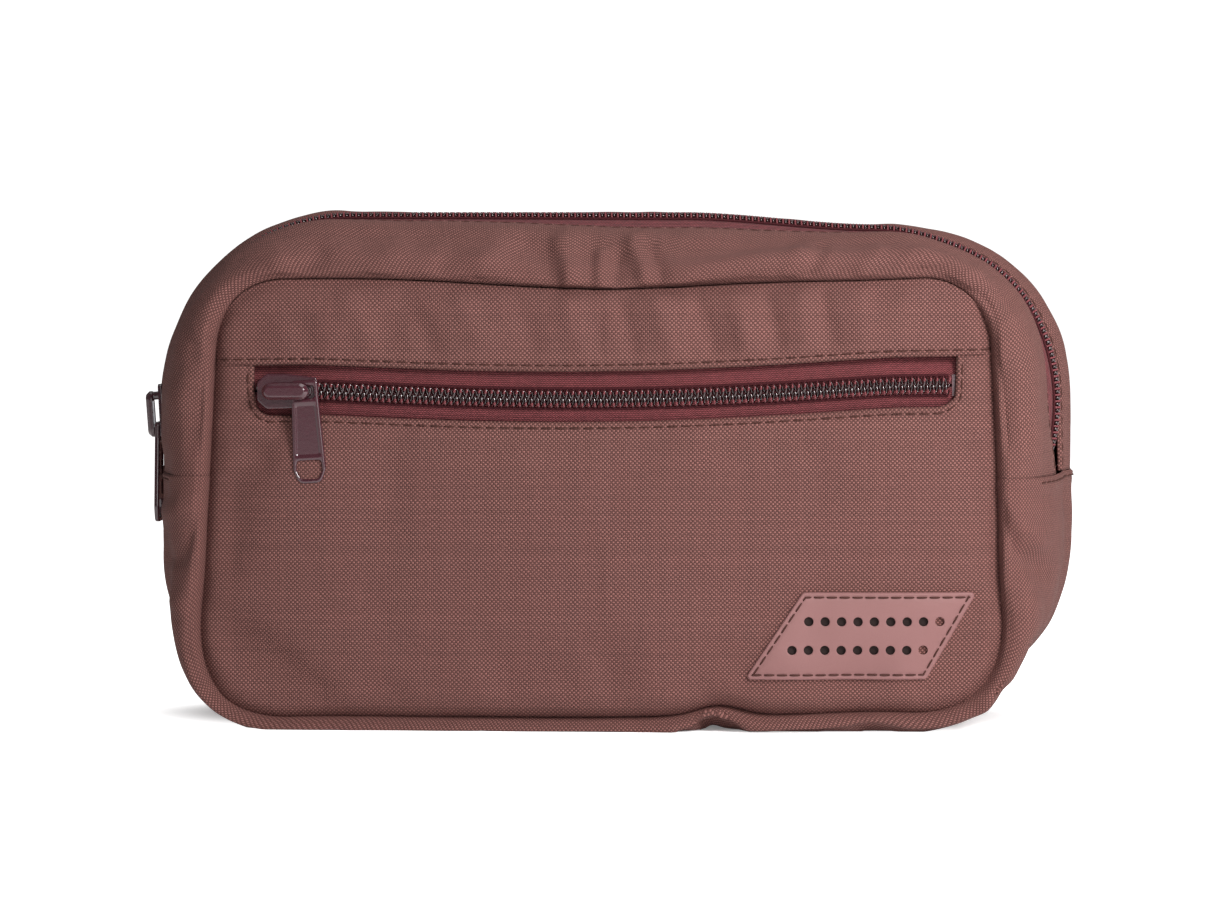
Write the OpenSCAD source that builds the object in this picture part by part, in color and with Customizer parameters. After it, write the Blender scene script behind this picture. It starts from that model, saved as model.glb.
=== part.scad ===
// Waist pack: a sewn pouch with a curved main zip over its top, a zipped pocket in its front
// panel, a sewn badge, and a waist belt that lies folded behind the back panel.
// Frame: millimetres, +Z up, the front faces -Y, origin on the floor under the middle of the pouch.

/* [Pouch] */
// Half width of the front panel
front_hw = 120; // [116:1:124]
// Height of the front panel's lower seam
front_bot = 7.5; // [6:0.5:9]
// Height of the front panel's upper seam
front_top = 136.5; // [134:0.5:139]
// Radius of the front panel's lower corners
front_r_low = 28; // [24:1:32]
// Radius of the front panel's upper corners
front_r_top = 30; // [26:1:34]
// Depth from the middle of the pouch to the front seam
front_seam_y = 38.5; // [37:0.5:40]
// Depth from the middle of the pouch to the back seam
back_seam_y = 40; // [39:0.5:42]
// How far the front panel swells beyond its seam
front_swell = 4; // [3:0.5:5]
// Thickness of the shell fabric
fabric_t = 1.0; // [0.8:0.1:1.1]
// Height of the seam where the zip gusset meets the lower gusset
seam_z = 77; // [74:1:80]

/* [Main zip] */
// Centre of the zip's corner arc, from the middle of the pouch
arc_x = 80; // [78:1:82]
// Height of the corner arc's centre
arc_z = 98.5; // [97.5:0.5:99]
// Radius of the gusset at the zip's corner arc
arc_r = 57.5; // [57:0.5:58]
// Depth of the main zip's centre line, towards the back
main_zip_y = -4; // [-6:0.5:-2]
// Angle below the level of the arc's centre at which the chain ends
arc_low = 15; // [14.5:0.5:15.5]
// Angle below the level of the arc's centre at which the slider rests
slide_rest = 4; // [1:0.5:4]

/* [Front zip] */
// Height of the middle of the pocket zip's chord
front_zip_z = 103.8; // [102:0.2:104]
// Rise of the pocket zip towards its right end, as an angle
front_zip_tilt = 0.6; // [0:0.1:1]
// Radius of the gentle curve that the pocket zip follows
front_zip_r = 1100; // [900:50:1400]
// Left end of the zip window
window_left = -105; // [-108:1:-102]
// Right end of the zip window
window_right = 104; // [100:1:106]
// Half height of the zip window
window_half = 8; // [7.5:0.5:9]
// Where the pocket slider rests
slider_x = -95; // [-95:0.5:-90]

/* [Chain and sliders] */
// Half width of one closed coil chain
chain_half = 3.1; // [2.9:0.1:3.3]
// Thickness of the coil above its tape
coil_t = 2.0; // [1.8:0.1:2.1]
// Thickness of the zip tape
tape_t = 0.6; // [0.5:0.1:0.6]
// Half width of the whole zip tape
tape_half = 11; // [10:0.5:11]
// Length of a slider's body
slider_len = 18.5; // [17.5:0.5:19]
// Length of a puller from its eye bar to its tip
puller_len = 32; // [28:1:33]

/* [Belt] */
// Width of the belt webbing
web_w = 25; // [24:0.5:25.5]
// Thickness of the belt webbing
web_t = 1.6; // [1.4:0.1:1.7]
// Height of the belt's centre line
belt_z = 80; // [76:1:84]
// Distance of each belt hinge from the middle of the pouch
belt_hinge_x = 129; // [128:0.5:130]
// Number of folds in the stowed tail of the long strap
tail_folds = 6; // [4:1:8]

/* [Hidden] */

shell_c = [0.36, 0.23, 0.21];
tape_c = [0.40, 0.15, 0.18];
coil_c = [0.10, 0.05, 0.06];
metal_c = [0.24, 0.13, 0.16];
badge_c = [0.50, 0.31, 0.31];
lining_c = [0.30, 0.27, 0.27];
foam_c = [0.15, 0.15, 0.15];
web_c = [0.27, 0.15, 0.15];
plastic_c = [0.16, 0.09, 0.10];

// ---- outlines: each station of the pouch is the outline around four corner circles ----
// [depth, lower corner x, z, radius, upper corner x, z, radius]
S0 = [-front_seam_y, front_hw - front_r_low, front_bot + front_r_low, front_r_low + 1.5,
      front_hw - front_r_top, front_top - front_r_top, front_r_top + 1.5];
S2 = [-30, 90, 42, 42, 86, 103.5, 45];
SZ1 = [main_zip_y - window_half, 88, 50, 50, arc_x, arc_z, arc_r];
SZ2 = [main_zip_y + window_half, 88, 50, 50, arc_x, arc_z, arc_r];
S3A = [main_zip_y - tape_half - 1, 88, 50, 50, arc_x, arc_z, arc_r];
S3B = [main_zip_y + tape_half + 1, 88, 50, 50, arc_x, arc_z, arc_r];
S5 = [18, 92, 50, 50, 84, 98.5, 56.5];
S6 = [33, 94, 45, 45, 88, 101, 49.5];
S7 = [back_seam_y, 98, 38, 32, 94, 108, 36];

seam_gap = 0.4; // between the zip gusset and the lower gusset
nb = 4;   // steps along the bottom
na = 12;  // steps round a corner
ns = 4;   // steps along each part of a side
nt = 6;   // steps along the top

function lerp(a, b, t) = a + (b - a) * t;
function reverse(v) = [for (i = [len(v) - 1:-1:0]) v[i]];
function rest(v) = [for (i = [1:len(v) - 1]) v[i]];
function inset(s, d) = [s[0], s[1], s[2], s[3] - d, s[4], s[5], s[6] - d];
function at_y(s, y) = [y, s[1], s[2], s[3], s[4], s[5], s[6]];
function mix(s, q, t) = [for (i = [0:6]) lerp(s[i], q[i], t)];
// angle of the straight side's normal, where it touches both corner circles
function side_angle(s) = let (dx = s[4] - s[1], dz = s[5] - s[2])
  atan2(dz, dx) - acos((s[3] - s[6]) / norm([dx, dz]));
// stations that round the edges off between the seams and the full section
S1 = at_y(mix(S0, S2, 0.55), -36);
S3 = at_y(mix(S2, SZ1, 0.65), -22.5);
S6B = at_y(mix(S6, S7, 0.45), 38);
function on_low(s, a) = [s[1] + s[3] * cos(a), s[2] + s[3] * sin(a)];
function on_top(s, a) = [s[4] + s[6] * cos(a), s[5] + s[6] * sin(a)];
function seam_point(s) = let (f = side_angle(s), p = on_low(s, f), q = on_top(s, f))
  lerp(p, q, (seam_z - p[1]) / (q[1] - p[1]));
// right half of the outline below the gusset seam, from the bottom's middle upwards
function low_half(s) = let (f = side_angle(s), p = on_low(s, f), m = seam_point(s)) concat(
  [for (i = [0:nb - 1]) [s[1] * i / nb, s[2] - s[3]]],
  [for (i = [0:na]) on_low(s, -90 + (f + 90) * i / na)],
  [for (i = [1:ns]) lerp(p, m, i / ns)]);
// right half of the outline above the gusset seam, from the seam to the top's middle
function high_half(s) = let (f = side_angle(s), q = on_top(s, f), m = seam_point(s)) concat(
  [for (i = [0:ns - 1]) lerp(m + [0, seam_gap], q, i / ns)],
  [for (i = [0:na]) on_top(s, f + (90 - f) * i / na)],
  [for (i = [1:nt]) [s[4] * (1 - i / nt), s[5] + s[6]]]);
function place(s, side, p) = [side * p[0], s[0], p[1]];
// whole rows, clockwise as seen from the front, so that the sheet's thickness goes inwards
function low_row(s) = let (h = low_half(s)) concat(
  [for (p = reverse(h)) place(s, 1, p)], [for (p = rest(h)) place(s, -1, p)]);
function high_row(s) = let (h = high_half(s)) concat(
  [for (p = h) place(s, -1, p)], [for (p = rest(reverse(h))) place(s, 1, p)]);
function ring_row(s) = let (u = high_row(s), l = low_row(s)) concat(
  u, [for (i = [1:len(l) - 2]) l[i]]);

// ---- a closed solid between a surface and its copy, t further along the grid's normal ----
function unit(v) = v / max(norm(v), 1e-9);
function grid_normal(g, i, j, wrap) = let (n = len(g), m = len(g[0]),
  a = g[min(i + 1, n - 1)][j] - g[max(i - 1, 0)][j],
  b = wrap ? g[i][(j + 1) % m] - g[i][(j + m - 1) % m] : g[i][min(j + 1, m - 1)] - g[i][max(j - 1, 0)])
  unit(cross(a, b));
module sheet(g, t, wrap = false) {
  n = len(g);
  m = len(g[0]);
  k = n * m;
  jm = wrap ? m - 1 : m - 2;
  pts = concat([for (i = [0:n - 1]) for (j = [0:m - 1]) g[i][j]],
    [for (i = [0:n - 1]) for (j = [0:m - 1]) g[i][j] + t * grid_normal(g, i, j, wrap)]);
  faces = concat(
    [for (i = [0:n - 2]) for (j = [0:jm]) let (c = (j + 1) % m) [i * m + j, (i + 1) * m + j, (i + 1) * m + c]],
    [for (i = [0:n - 2]) for (j = [0:jm]) let (c = (j + 1) % m) [i * m + j, (i + 1) * m + c, i * m + c]],
    [for (i = [0:n - 2]) for (j = [0:jm]) let (c = (j + 1) % m) [k + i * m + j, k + (i + 1) * m + c, k + (i + 1) * m + j]],
    [for (i = [0:n - 2]) for (j = [0:jm]) let (c = (j + 1) % m) [k + i * m + j, k + i * m + c, k + (i + 1) * m + c]],
    [for (j = [0:jm]) let (c = (j + 1) % m) [j, c, k + c]],
    [for (j = [0:jm]) let (c = (j + 1) % m) [j, k + c, k + j]],
    [for (j = [0:jm]) let (c = (j + 1) % m, e = (n - 1) * m) [e + j, k + e + c, e + c]],
    [for (j = [0:jm]) let (c = (j + 1) % m, e = (n - 1) * m) [e + j, k + e + j, k + e + c]],
    wrap ? [] : concat(
      [for (i = [0:n - 2]) [i * m, k + i * m, k + (i + 1) * m]],
      [for (i = [0:n - 2]) [i * m, k + (i + 1) * m, (i + 1) * m]],
      [for (i = [0:n - 2]) let (e = m - 1) [i * m + e, (i + 1) * m + e, k + (i + 1) * m + e]],
      [for (i = [0:n - 2]) let (e = m - 1) [i * m + e, k + (i + 1) * m + e, k + i * m + e]]));
  polyhedron(points = pts, faces = faces, convexity = 8);
}

// ---- front and back faces as height fields ----
arc_front = -(front_seam_y + front_swell); // depth of the pocket tape's outer face at the middle
front_mid_z = (front_top + front_bot) / 2;
front_half_h = (front_top - front_bot) / 2;
function tape_y(x) = arc_front + front_zip_r - sqrt(front_zip_r * front_zip_r - x * x);
function front_y(x, z) = tape_y(x) - 0.3 - fabric_t
  + front_swell * pow(max(abs(z - front_mid_z) / front_half_h - 0.66, 0) / 0.34, 2);
function back_y(x, z) = back_seam_y + 1.5 + 2.2 * (1 - pow(x / 130, 2)) * (1 - pow((z - 75) / 70, 2));
function rise(x) = x * tan(front_zip_tilt);
module tilted() translate([0, 0, front_zip_z]) rotate([0, -front_zip_tilt, 0]) translate([0, 0, -front_zip_z]) children();
// half height of a round-cornered panel at x, above or below the corner's centre
function corner_rise(x, hw, r) = let (d = max(abs(x) - (hw - r), 0)) sqrt(max(r * r - d * d, 0));
function panel_low(x, hw, bot, r) = bot + r - corner_rise(x, hw, r);
function panel_top(x, hw, top, r) = top - r + corner_rise(x, hw, r);
// columns close together at the ends, where the corners turn
function columns(x0, x1, n) = [for (i = [0:n]) (x0 + x1) / 2 - (x1 - x0) / 2 * cos(180 * i / n)];
module column_panel(xs, low, top, n, t, front = true) {
  // low and top are lists of heights, one for each column
  g = [for (i = [0:n]) [for (j = [0:len(xs) - 1])
    let (x = xs[j], z = lerp(low[j], top[j], i / n)) [x, front ? front_y(x, z) : 0, z]]];
  sheet(g, t);
}

panel_gap = 1.5;
pf_hw = front_hw - panel_gap;
pf_bot = front_bot + panel_gap;
pf_top = front_top - panel_gap;
win_low = front_zip_z - window_half;
win_top = front_zip_z + window_half;
function stepped(x) = rise(x) + (x > window_left && x < window_right ? win_low : win_top - 0.4);

module front_lower_panel() color(shell_c) {
  left = columns(-pf_hw, window_left - 0.2, 8);
  right = columns(window_right + 0.2, pf_hw, 8);
  mid = [for (i = [0:18]) lerp(window_left + 0.2, window_right - 0.2, i / 18)];
  xs = concat(left, mid, right);
  column_panel(xs, [for (x = xs) panel_low(x, pf_hw, pf_bot, front_r_low)],
    [for (x = xs) stepped(x)], 8, fabric_t);
}
module front_upper_panel() color(shell_c) {
  xs = columns(-pf_hw, pf_hw, 28);
  column_panel(xs, [for (x = xs) win_top + rise(x) + 0.2],
    [for (x = xs) max(panel_top(x, pf_hw, pf_top, front_r_top), win_top + rise(x) + 1.2)], 4, fabric_t);
}
// flat sheets behind the front: the pocket's bag, with the pocket's room in front of it, and the lining
module flat_sheet(y, hw, low, top, r, t) {
  xs = columns(-hw, hw, 20);
  sheet([for (i = [0:2]) [for (x = xs) [x, y, lerp(panel_low(x, hw, low, r), panel_top(x, hw, top, r), i / 2)]]], t);
}
bag_y = -30.5; // depth of the pocket's back
module front_pocket_bag() color(lining_c) flat_sheet(bag_y, front_hw - 7, 14, 124, 18, 0.5);
module lining_front() color(lining_c) flat_sheet(bag_y + 1.3, front_hw - 7, 13, 130, 20, 0.5);

// ---- gussets ----
module zip_gusset_front() color(shell_c)
  sheet([high_row(S0), high_row(S1), high_row(S2), high_row(S3), high_row(S3A), high_row(SZ1)], fabric_t);
module zip_gusset_rear() color(shell_c)
  sheet([high_row(SZ2), high_row(S3B), high_row(S5), high_row(S6), high_row(S6B), high_row(S7)], fabric_t);
module lower_gusset() color(shell_c)
  sheet([low_row(S0), low_row(S1), low_row(S2), low_row(S3), low_row(S3A), low_row(S3B), low_row(S5), low_row(S6), low_row(S6B), low_row(S7)], fabric_t);
module lining_lower() color(lining_c)
  sheet([low_row(inset(S2, 2.4)), low_row(inset(S3, 2.4)), low_row(inset(S3A, 2.4)), low_row(inset(S3B, 2.4)), low_row(inset(S5, 2.4)), low_row(inset(at_y(S6, 32), 2.4))], 0.5);
module lining_zip_front() color(lining_c)
  sheet([high_row(inset(S2, 3.0)), high_row(inset(S3, 3.0)), high_row(inset(S3A, 3.0))], 0.5);
module lining_zip_rear() color(lining_c)
  sheet([high_row(inset(S3B, 3.0)), high_row(inset(S5, 3.0)), high_row(inset(at_y(S6, 32), 3.0))], 0.5);
module binding_front() color(web_c)
  sheet([ring_row(inset(at_y(S2, -30), 4.2)), ring_row(inset(S3, 5.0))], 1.0, true);
module binding_back() color(web_c)
  sheet([ring_row(inset(at_y(S5, 24), 8.5)), ring_row(inset(at_y(S6, 31), 4.2))], 1.0, true);

// ---- back ----
module back_sheet(d, hw, low, top, rl, rt, t) {
  xs = columns(-hw, hw, 24);
  g = [for (x = xs) [for (i = [0:8])
    let (z = lerp(panel_low(x, hw, low, rl), panel_top(x, hw, top, rt), i / 8)) [x, back_y(x, z) - d, z]]];
  sheet(g, t);
}
module back_panel() color(shell_c) back_sheet(0, 129, 7, 143, 31, 35, fabric_t);
module back_foam_pad() color(foam_c) back_sheet(fabric_t + 0.6, 122, 14, 136, 26, 30, 3.6);
module lining_back() color(lining_c) back_sheet(fabric_t + 5.0, 124, 12, 138, 28, 32, 0.5);

// ---- badge: a slanted plate sewn on the front panel's lower right ----
badge_low = 16.8; // height of its lower edge
badge_top = 42.8; // height of its upper edge
module badge() color(badge_c) {
  n = 12;
  g = [for (i = [0:4]) [for (j = [0:n])
    let (v = i / 4, z = lerp(badge_low, badge_top, v), x = lerp(lerp(42.5, 60, v), lerp(97.5, 112, v), j / n))
    [x, front_y(x, z) - 1.5, z]]];
  sheet(g, 1.3);
}

// ---- main zip: two arcs joined by a straight run, wide across the depth ----
tape_top_r = arc_r - fabric_t - 0.3; // outer face of the tape, as a radius about the corner's centre
module arch_band(r0, r1, y0, y1, low = arc_low) {
  for (s = [-1, 1]) mirror([s < 0 ? 1 : 0, 0, 0])
    translate([arc_x, y1, arc_z]) rotate([90, 0, 0]) mirror([1, -1, 0])
      rotate_extrude(angle = 90 + low, $fn = 180) translate([r0, 0]) square([r1 - r0, y1 - y0]);
  translate([-arc_x, y0, arc_z + r0]) cube([2 * arc_x, y1 - y0, r1 - r0]);
}
split_gap = 0.5; // half the gap in the chain that the slider's divider passes through
module main_zip_tape_front() color(tape_c)
  arch_band(tape_top_r - tape_t, tape_top_r, main_zip_y - tape_half, main_zip_y - split_gap, arc_low + 3.4);
module main_zip_tape_rear() color(tape_c)
  arch_band(tape_top_r - tape_t, tape_top_r, main_zip_y + split_gap, main_zip_y + tape_half, arc_low + 3.4);
module main_zip_coil_front() color(coil_c)
  arch_band(tape_top_r + 0.02, tape_top_r + coil_t, main_zip_y - chain_half, main_zip_y - split_gap);
module main_zip_coil_rear() color(coil_c)
  arch_band(tape_top_r + 0.02, tape_top_r + coil_t, main_zip_y + split_gap, main_zip_y + chain_half);
module main_zip_stops() color(metal_c)
  for (s = [-1, 1]) mirror([s < 0 ? 1 : 0, 0, 0])
    translate([arc_x, main_zip_y, arc_z]) rotate([0, arc_low + 1.8, 0])
      translate([tape_top_r + 0.02, -3.2, -0.9]) cube([1.2, 6.4, 1.8]);

// ---- pocket zip: follows one gentle arc across the front ----
module front_band(d0, d1, z0, z1, x0, x1) {
  // d is measured outwards from the tape's outer face
  r = front_zip_r;
  a0 = asin(x0 / r);
  a1 = asin(x1 / r);
  tilted() translate([0, arc_front + r, z0]) rotate([0, 0, -90 + a0])
    rotate_extrude(angle = a1 - a0, $fn = 256) translate([r + d0, 0]) square([d1 - d0, z1 - z0]);
}
fz0 = window_left - 3;
fz1 = window_right + 3;
module front_zip_tape_upper() color(tape_c)
  front_band(-tape_t, 0, front_zip_z + split_gap, front_zip_z + tape_half, fz0, fz1);
module front_zip_tape_lower() color(tape_c)
  front_band(-tape_t, 0, front_zip_z - tape_half, front_zip_z - split_gap, fz0, fz1);
module front_zip_coil_upper() color(coil_c)
  front_band(0.02, coil_t, front_zip_z + split_gap, front_zip_z + chain_half, window_left + 0.4, window_right - 0.4);
module front_zip_coil_lower() color(coil_c)
  front_band(0.02, coil_t, front_zip_z - chain_half, front_zip_z - split_gap, window_left + 0.4, window_right - 0.4);
module front_zip_stops() color(metal_c) {
  front_band(0.02, 0.26, front_zip_z - 3.2, front_zip_z + 3.2, fz0 + 0.8, fz0 + 2.4);
  front_band(0.02, 0.26, front_zip_z - 3.2, front_zip_z + 3.2, fz1 - 2.4, fz1 - 0.8);
}

// ---- slider: x towards its nose, y across the chain, z outwards, origin on the tape's outer face ----
plate_in = coil_t + 0.25;   // inner face of the top plate
plate_out = plate_in + 1.2; // outer face of the top plate
floor_in = -tape_t - 0.85;  // inner face of the bottom plate
floor_out = floor_in - 1.1;
leg_x = slider_len / 2 - 3.6;
leg_r = 1.3;
crown_in = plate_out + 2.3;
puller_z = plate_out + 1.0;
module plate_shape() offset(r = 1.0) polygon([
  [slider_len / 2 - 1, 2.3], [slider_len / 2 - 3.2, 4.3], [0, 4.2], [-slider_len / 2 + 1, 3.2],
  [-slider_len / 2 + 1, -3.2], [0, -4.2], [slider_len / 2 - 3.2, -4.3], [slider_len / 2 - 1, -2.3]], $fn = 24);
module slider_body() color(metal_c) {
  translate([0, 0, plate_in]) linear_extrude(plate_out - plate_in) plate_shape();
  translate([0, 0, floor_out]) linear_extrude(floor_in - floor_out) plate_shape();
  // side flanges, down to just above the tape
  for (s = [-1, 1]) translate([-slider_len / 2 + 3, s > 0 ? 3.55 : -4.35, 0.35]) cube([slider_len - 7, 0.8, plate_in - 0.3]);
  // divider between the two halves of the chain
  translate([slider_len / 2 - 4.2, -0.34, floor_in - 0.05]) cube([3, 0.68, plate_in - floor_in + 0.1]);
}
module slider_crown() color(metal_c) {
  for (s = [-1, 1]) translate([s * leg_x, 0, plate_out + 0.02]) cylinder(r = leg_r, h = crown_in - plate_out + 0.5, $fn = 32);
  hull() for (s = [-1, 1]) {
    translate([s * (leg_x - 1), 0, crown_in]) cylinder(r = 2.5, h = 1.0, $fn = 32);
    translate([s * (leg_x - 1), 0, crown_in]) cylinder(r = 1.5, h = 2.1, $fn = 32);
  }
}
module slider_lock_spring() color([0.6, 0.6, 0.62])
  translate([-leg_x + leg_r + 0.3, -0.9, crown_in - 0.28]) cube([2 * (leg_x - leg_r - 0.3), 1.8, 0.22]);

// ---- puller: hangs along +x from its eye bar, which lies along y at the origin ----
eye_half = 2.95;
rail = 1.2;
module puller() color(metal_c) {
  w0 = eye_half + rail;      // half width at the eye
  w1 = 5.2;                  // half width near the tip
  tip = puller_len - w1;
  // eye bar
  translate([0, w0, 0]) rotate([90, 0, 0]) cylinder(r = 0.75, h = 2 * w0, $fn = 32);
  // rails on both sides of the eye
  for (s = [-1, 1]) translate([0, s > 0 ? eye_half : -w0, -0.75]) cube([5.6, rail, 1.5]);
  // tapered tab with a round loop at its end
  difference() {
    translate([0, 0, -0.75]) linear_extrude(1.5) union() {
      polygon([[5.2, w0], [tip, w1], [tip, -w1], [5.2, -w0]]);
      translate([tip, 0]) circle(r = w1, $fn = 64);
    }
    translate([tip - 0.4, 0, -1]) cylinder(r = w1 - 1.5, h = 2, $fn = 64);
    // shallow recess inside the tab's rim
    translate([0, 0, 0.45]) linear_extrude(1) polygon([[7.2, w0 - 1.1], [tip - 4.6, w1 - 1.7], [tip - 4.6, -w1 + 1.7], [7.2, -w0 + 1.1]]);
  }
}

// ---- where each slider stands ----
module at_front_slider() {
  a = asin(slider_x / front_zip_r);
  tilted() translate([0, arc_front + front_zip_r, front_zip_z]) rotate([0, 0, a])
    translate([0, -front_zip_r, 0]) multmatrix([[-1, 0, 0, 0], [0, 0, -1, 0], [0, -1, 0, 0], [0, 0, 0, 1]]) children();
}
module at_main_slider() {
  // the left arc's centre, turned so that the local z axis points away from it and x runs down the chain
  translate([-arc_x, main_zip_y, arc_z]) rotate([0, -slide_rest, 0])
    translate([-tape_top_r, 0, 0]) multmatrix([[0, 0, -1, 0], [0, 1, 0, 0], [-1, 0, 0, 0], [0, 0, 0, 1]]) children();
}
module front_slider_body() at_front_slider() slider_body();
module front_slider_crown() at_front_slider() slider_crown();
module front_slider_lock_spring() at_front_slider() slider_lock_spring();
// the pocket's puller hangs from the crown's tail leg, down the front
module front_puller() at_front_slider()
  translate([-leg_x, 0, puller_z]) rotate([0, 0, 90 + 3]) translate([-(leg_r + 1.1), 0, 0]) puller();
module main_slider_body() at_main_slider() slider_body();
module main_slider_crown() at_main_slider() slider_crown();
module main_slider_lock_spring() at_main_slider() slider_lock_spring();
// the main puller hangs from the crown's lower leg, a little away from the side
main_puller_open = 4.5;
module main_puller() at_main_slider()
  translate([leg_x - leg_r - 1.1, 0, puller_z]) rotate([0, -main_puller_open, 0]) puller();

// ---- belt ----
belt_y = back_seam_y + 5.1;     // front face of the webbing where it leaves the wing
hinge_y = back_seam_y + 3.8;
bar_x = 38;                    // where the webbing turns round each buckle bar
bar_r = 1.5;
turn_r = bar_r + 0.3;          // inner radius of that turn
bar_y = belt_y + web_t + turn_r;
module wing(side) color(shell_c) mirror([side < 0 ? 1 : 0, 0, 0]) {
  translate([belt_hinge_x, hinge_y, belt_z - 24]) cylinder(r = 1.3, h = 48, $fn = 32);
  translate([0, hinge_y + 1.2, belt_z]) rotate([90, 0, 0]) linear_extrude(2.4)
    polygon([[belt_hinge_x, -24], [belt_hinge_x - 10, -24], [belt_hinge_x - 36, -14], [belt_hinge_x - 36, 14], [belt_hinge_x - 10, 24], [belt_hinge_x, 24]]);
}
// a strip of webbing along a flat path, seen from above
function path_dir(p, i) = unit(p[min(i + 1, len(p) - 1)] - p[max(i - 1, 0)]);
function path_side(p, i, d) = let (u = path_dir(p, i)) p[i] + d * [-u[1], u[0]];
module ribbon(p, w = web_w) translate([0, 0, belt_z - w / 2]) linear_extrude(w)
  polygon(concat([for (i = [0:len(p) - 1]) path_side(p, i, web_t / 2)],
    [for (i = [len(p) - 1:-1:0]) path_side(p, i, -web_t / 2)]));
function turn(c, r, a0, a1, n = 12) = [for (i = [0:n]) c + r * [cos(lerp(a0, a1, i / n)), sin(lerp(a0, a1, i / n))]];
mid_y = belt_y + web_t / 2;
// both straps start under the wing's end and turn round their buckle's bar
root_x = belt_hinge_x - 12;
fold_pitch = web_t + 0.5;
fold_in = -48;
fold_out = -114;
function fold_y(k) = mid_y + 2 * (turn_r + web_t / 2) + k * fold_pitch;
function tail(k) = k >= tail_folds ? [[k % 2 == 0 ? fold_out : fold_in, fold_y(k)]] :
  concat(k % 2 == 0 ? turn([fold_out, fold_y(k) + fold_pitch / 2], fold_pitch / 2, -90, -270, 8)
                    : turn([fold_in, fold_y(k) + fold_pitch / 2], fold_pitch / 2, -90, 90, 8), tail(k + 1));
strap_left_path = concat([[-root_x, mid_y], [-80, mid_y], [-bar_x - 2, mid_y]],
  turn([-bar_x, bar_y], turn_r + web_t / 2, -90, 90), tail(0));
strap_right_path = concat([[root_x, mid_y], [70, mid_y], [bar_x + 2, mid_y]],
  turn([bar_x, bar_y], turn_r + web_t / 2, -90, -270), [[62, bar_y + turn_r + web_t / 2], [84, bar_y + turn_r + web_t / 2]]);
module belt_wing_left() wing(-1);
module belt_wing_right() wing(1);
module belt_strap_left() color(web_c) ribbon(strap_left_path);
module belt_strap_right() color(web_c) ribbon(strap_right_path);
module strap_keeper() color(plastic_c) {
  y0 = belt_y - 1.6;
  y1 = fold_y(tail_folds) + web_t / 2 + 1.6;
  translate([-86, 0, 0]) difference() {
    translate([0, y0, belt_z - web_w / 2 - 1.8]) cube([14, y1 - y0, web_w + 3.6]);
    translate([-1, y0 + 1.2, belt_z - web_w / 2 - 0.6]) cube([16, y1 - y0 - 2.4, web_w + 1.2]);
  }
}
// ---- side-release buckle, open; each half turns on the bar inside its webbing loop ----
buckle_w = web_w + 8;
buckle_t = 8.4;
module slab(x0, x1, t, w, r = 1.2) translate([x0, -t / 2, -w / 2]) // a block with rounded long edges
  linear_extrude(w) offset(r = r) offset(delta = -r) square([x1 - x0, t]);
module bar_and_rails(x1) {
  cylinder(r = bar_r, h = buckle_w - 2, center = true, $fn = 48);
  for (s = [-1, 1]) translate([0, -2.2, s > 0 ? web_w / 2 + 0.9 : -buckle_w / 2]) cube([x1, 4.4, buckle_w / 2 - web_w / 2 - 0.9]);
}
module buckle_male() color(plastic_c) translate([-bar_x, bar_y, belt_z]) {
  bar_and_rails(6);
  slab(4.6, 14, 7, buckle_w);
  // prongs with hooked tips, and the guide between them
  for (s = [-1, 1]) mirror([0, 0, s < 0 ? 1 : 0]) {
    translate([13.5, -2.3, 7.6]) cube([12.5, 4.6, 2.6]);
    translate([0, 2.3, 0]) rotate([90, 0, 0]) linear_extrude(4.6)
      polygon([[25, 7.6], [25, 13.2], [28, 13.2], [35, 9.4], [35, 7.6]]);
  }
  translate([13.5, -2.0, -2.4]) cube([17, 4, 4.8]);
}
module buckle_female() color(plastic_c) translate([bar_x, bar_y, belt_z]) mirror([1, 0, 0]) {
  bar_and_rails(6);
  difference() {
    slab(4.6, 32, buckle_t, buckle_w);
    // socket for the prongs, open at the mouth
    translate([10, -2.9, -11.2]) cube([23, 5.8, 22.4]);
    // side windows where the hooks stand out
    for (s = [-1, 1]) translate([12, -2.9, s > 0 ? 10 : -20]) cube([9, 5.8, 10]);
  }
}

front_lower_panel();
front_upper_panel();
front_pocket_bag();
badge();
front_zip_tape_upper();
front_zip_tape_lower();
front_zip_coil_upper();
front_zip_coil_lower();
front_zip_stops();
front_slider_body();
front_slider_crown();
front_slider_lock_spring();
front_puller();
zip_gusset_front();
zip_gusset_rear();
lower_gusset();
back_panel();
back_foam_pad();
main_zip_tape_front();
main_zip_tape_rear();
main_zip_coil_front();
main_zip_coil_rear();
main_zip_stops();
main_slider_body();
main_slider_crown();
main_slider_lock_spring();
main_puller();
lining_front();
lining_back();
lining_lower();
lining_zip_front();
lining_zip_rear();
binding_front();
binding_back();
belt_wing_left();
belt_wing_right();
belt_strap_left();
belt_strap_right();
strap_keeper();
buckle_male();
buckle_female();
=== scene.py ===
import math

import bmesh
import bpy
import numpy as np
from mathutils import Matrix, Vector
from mathutils.bvhtree import BVHTree
from mathutils.geometry import delaunay_2d_cdt


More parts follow.
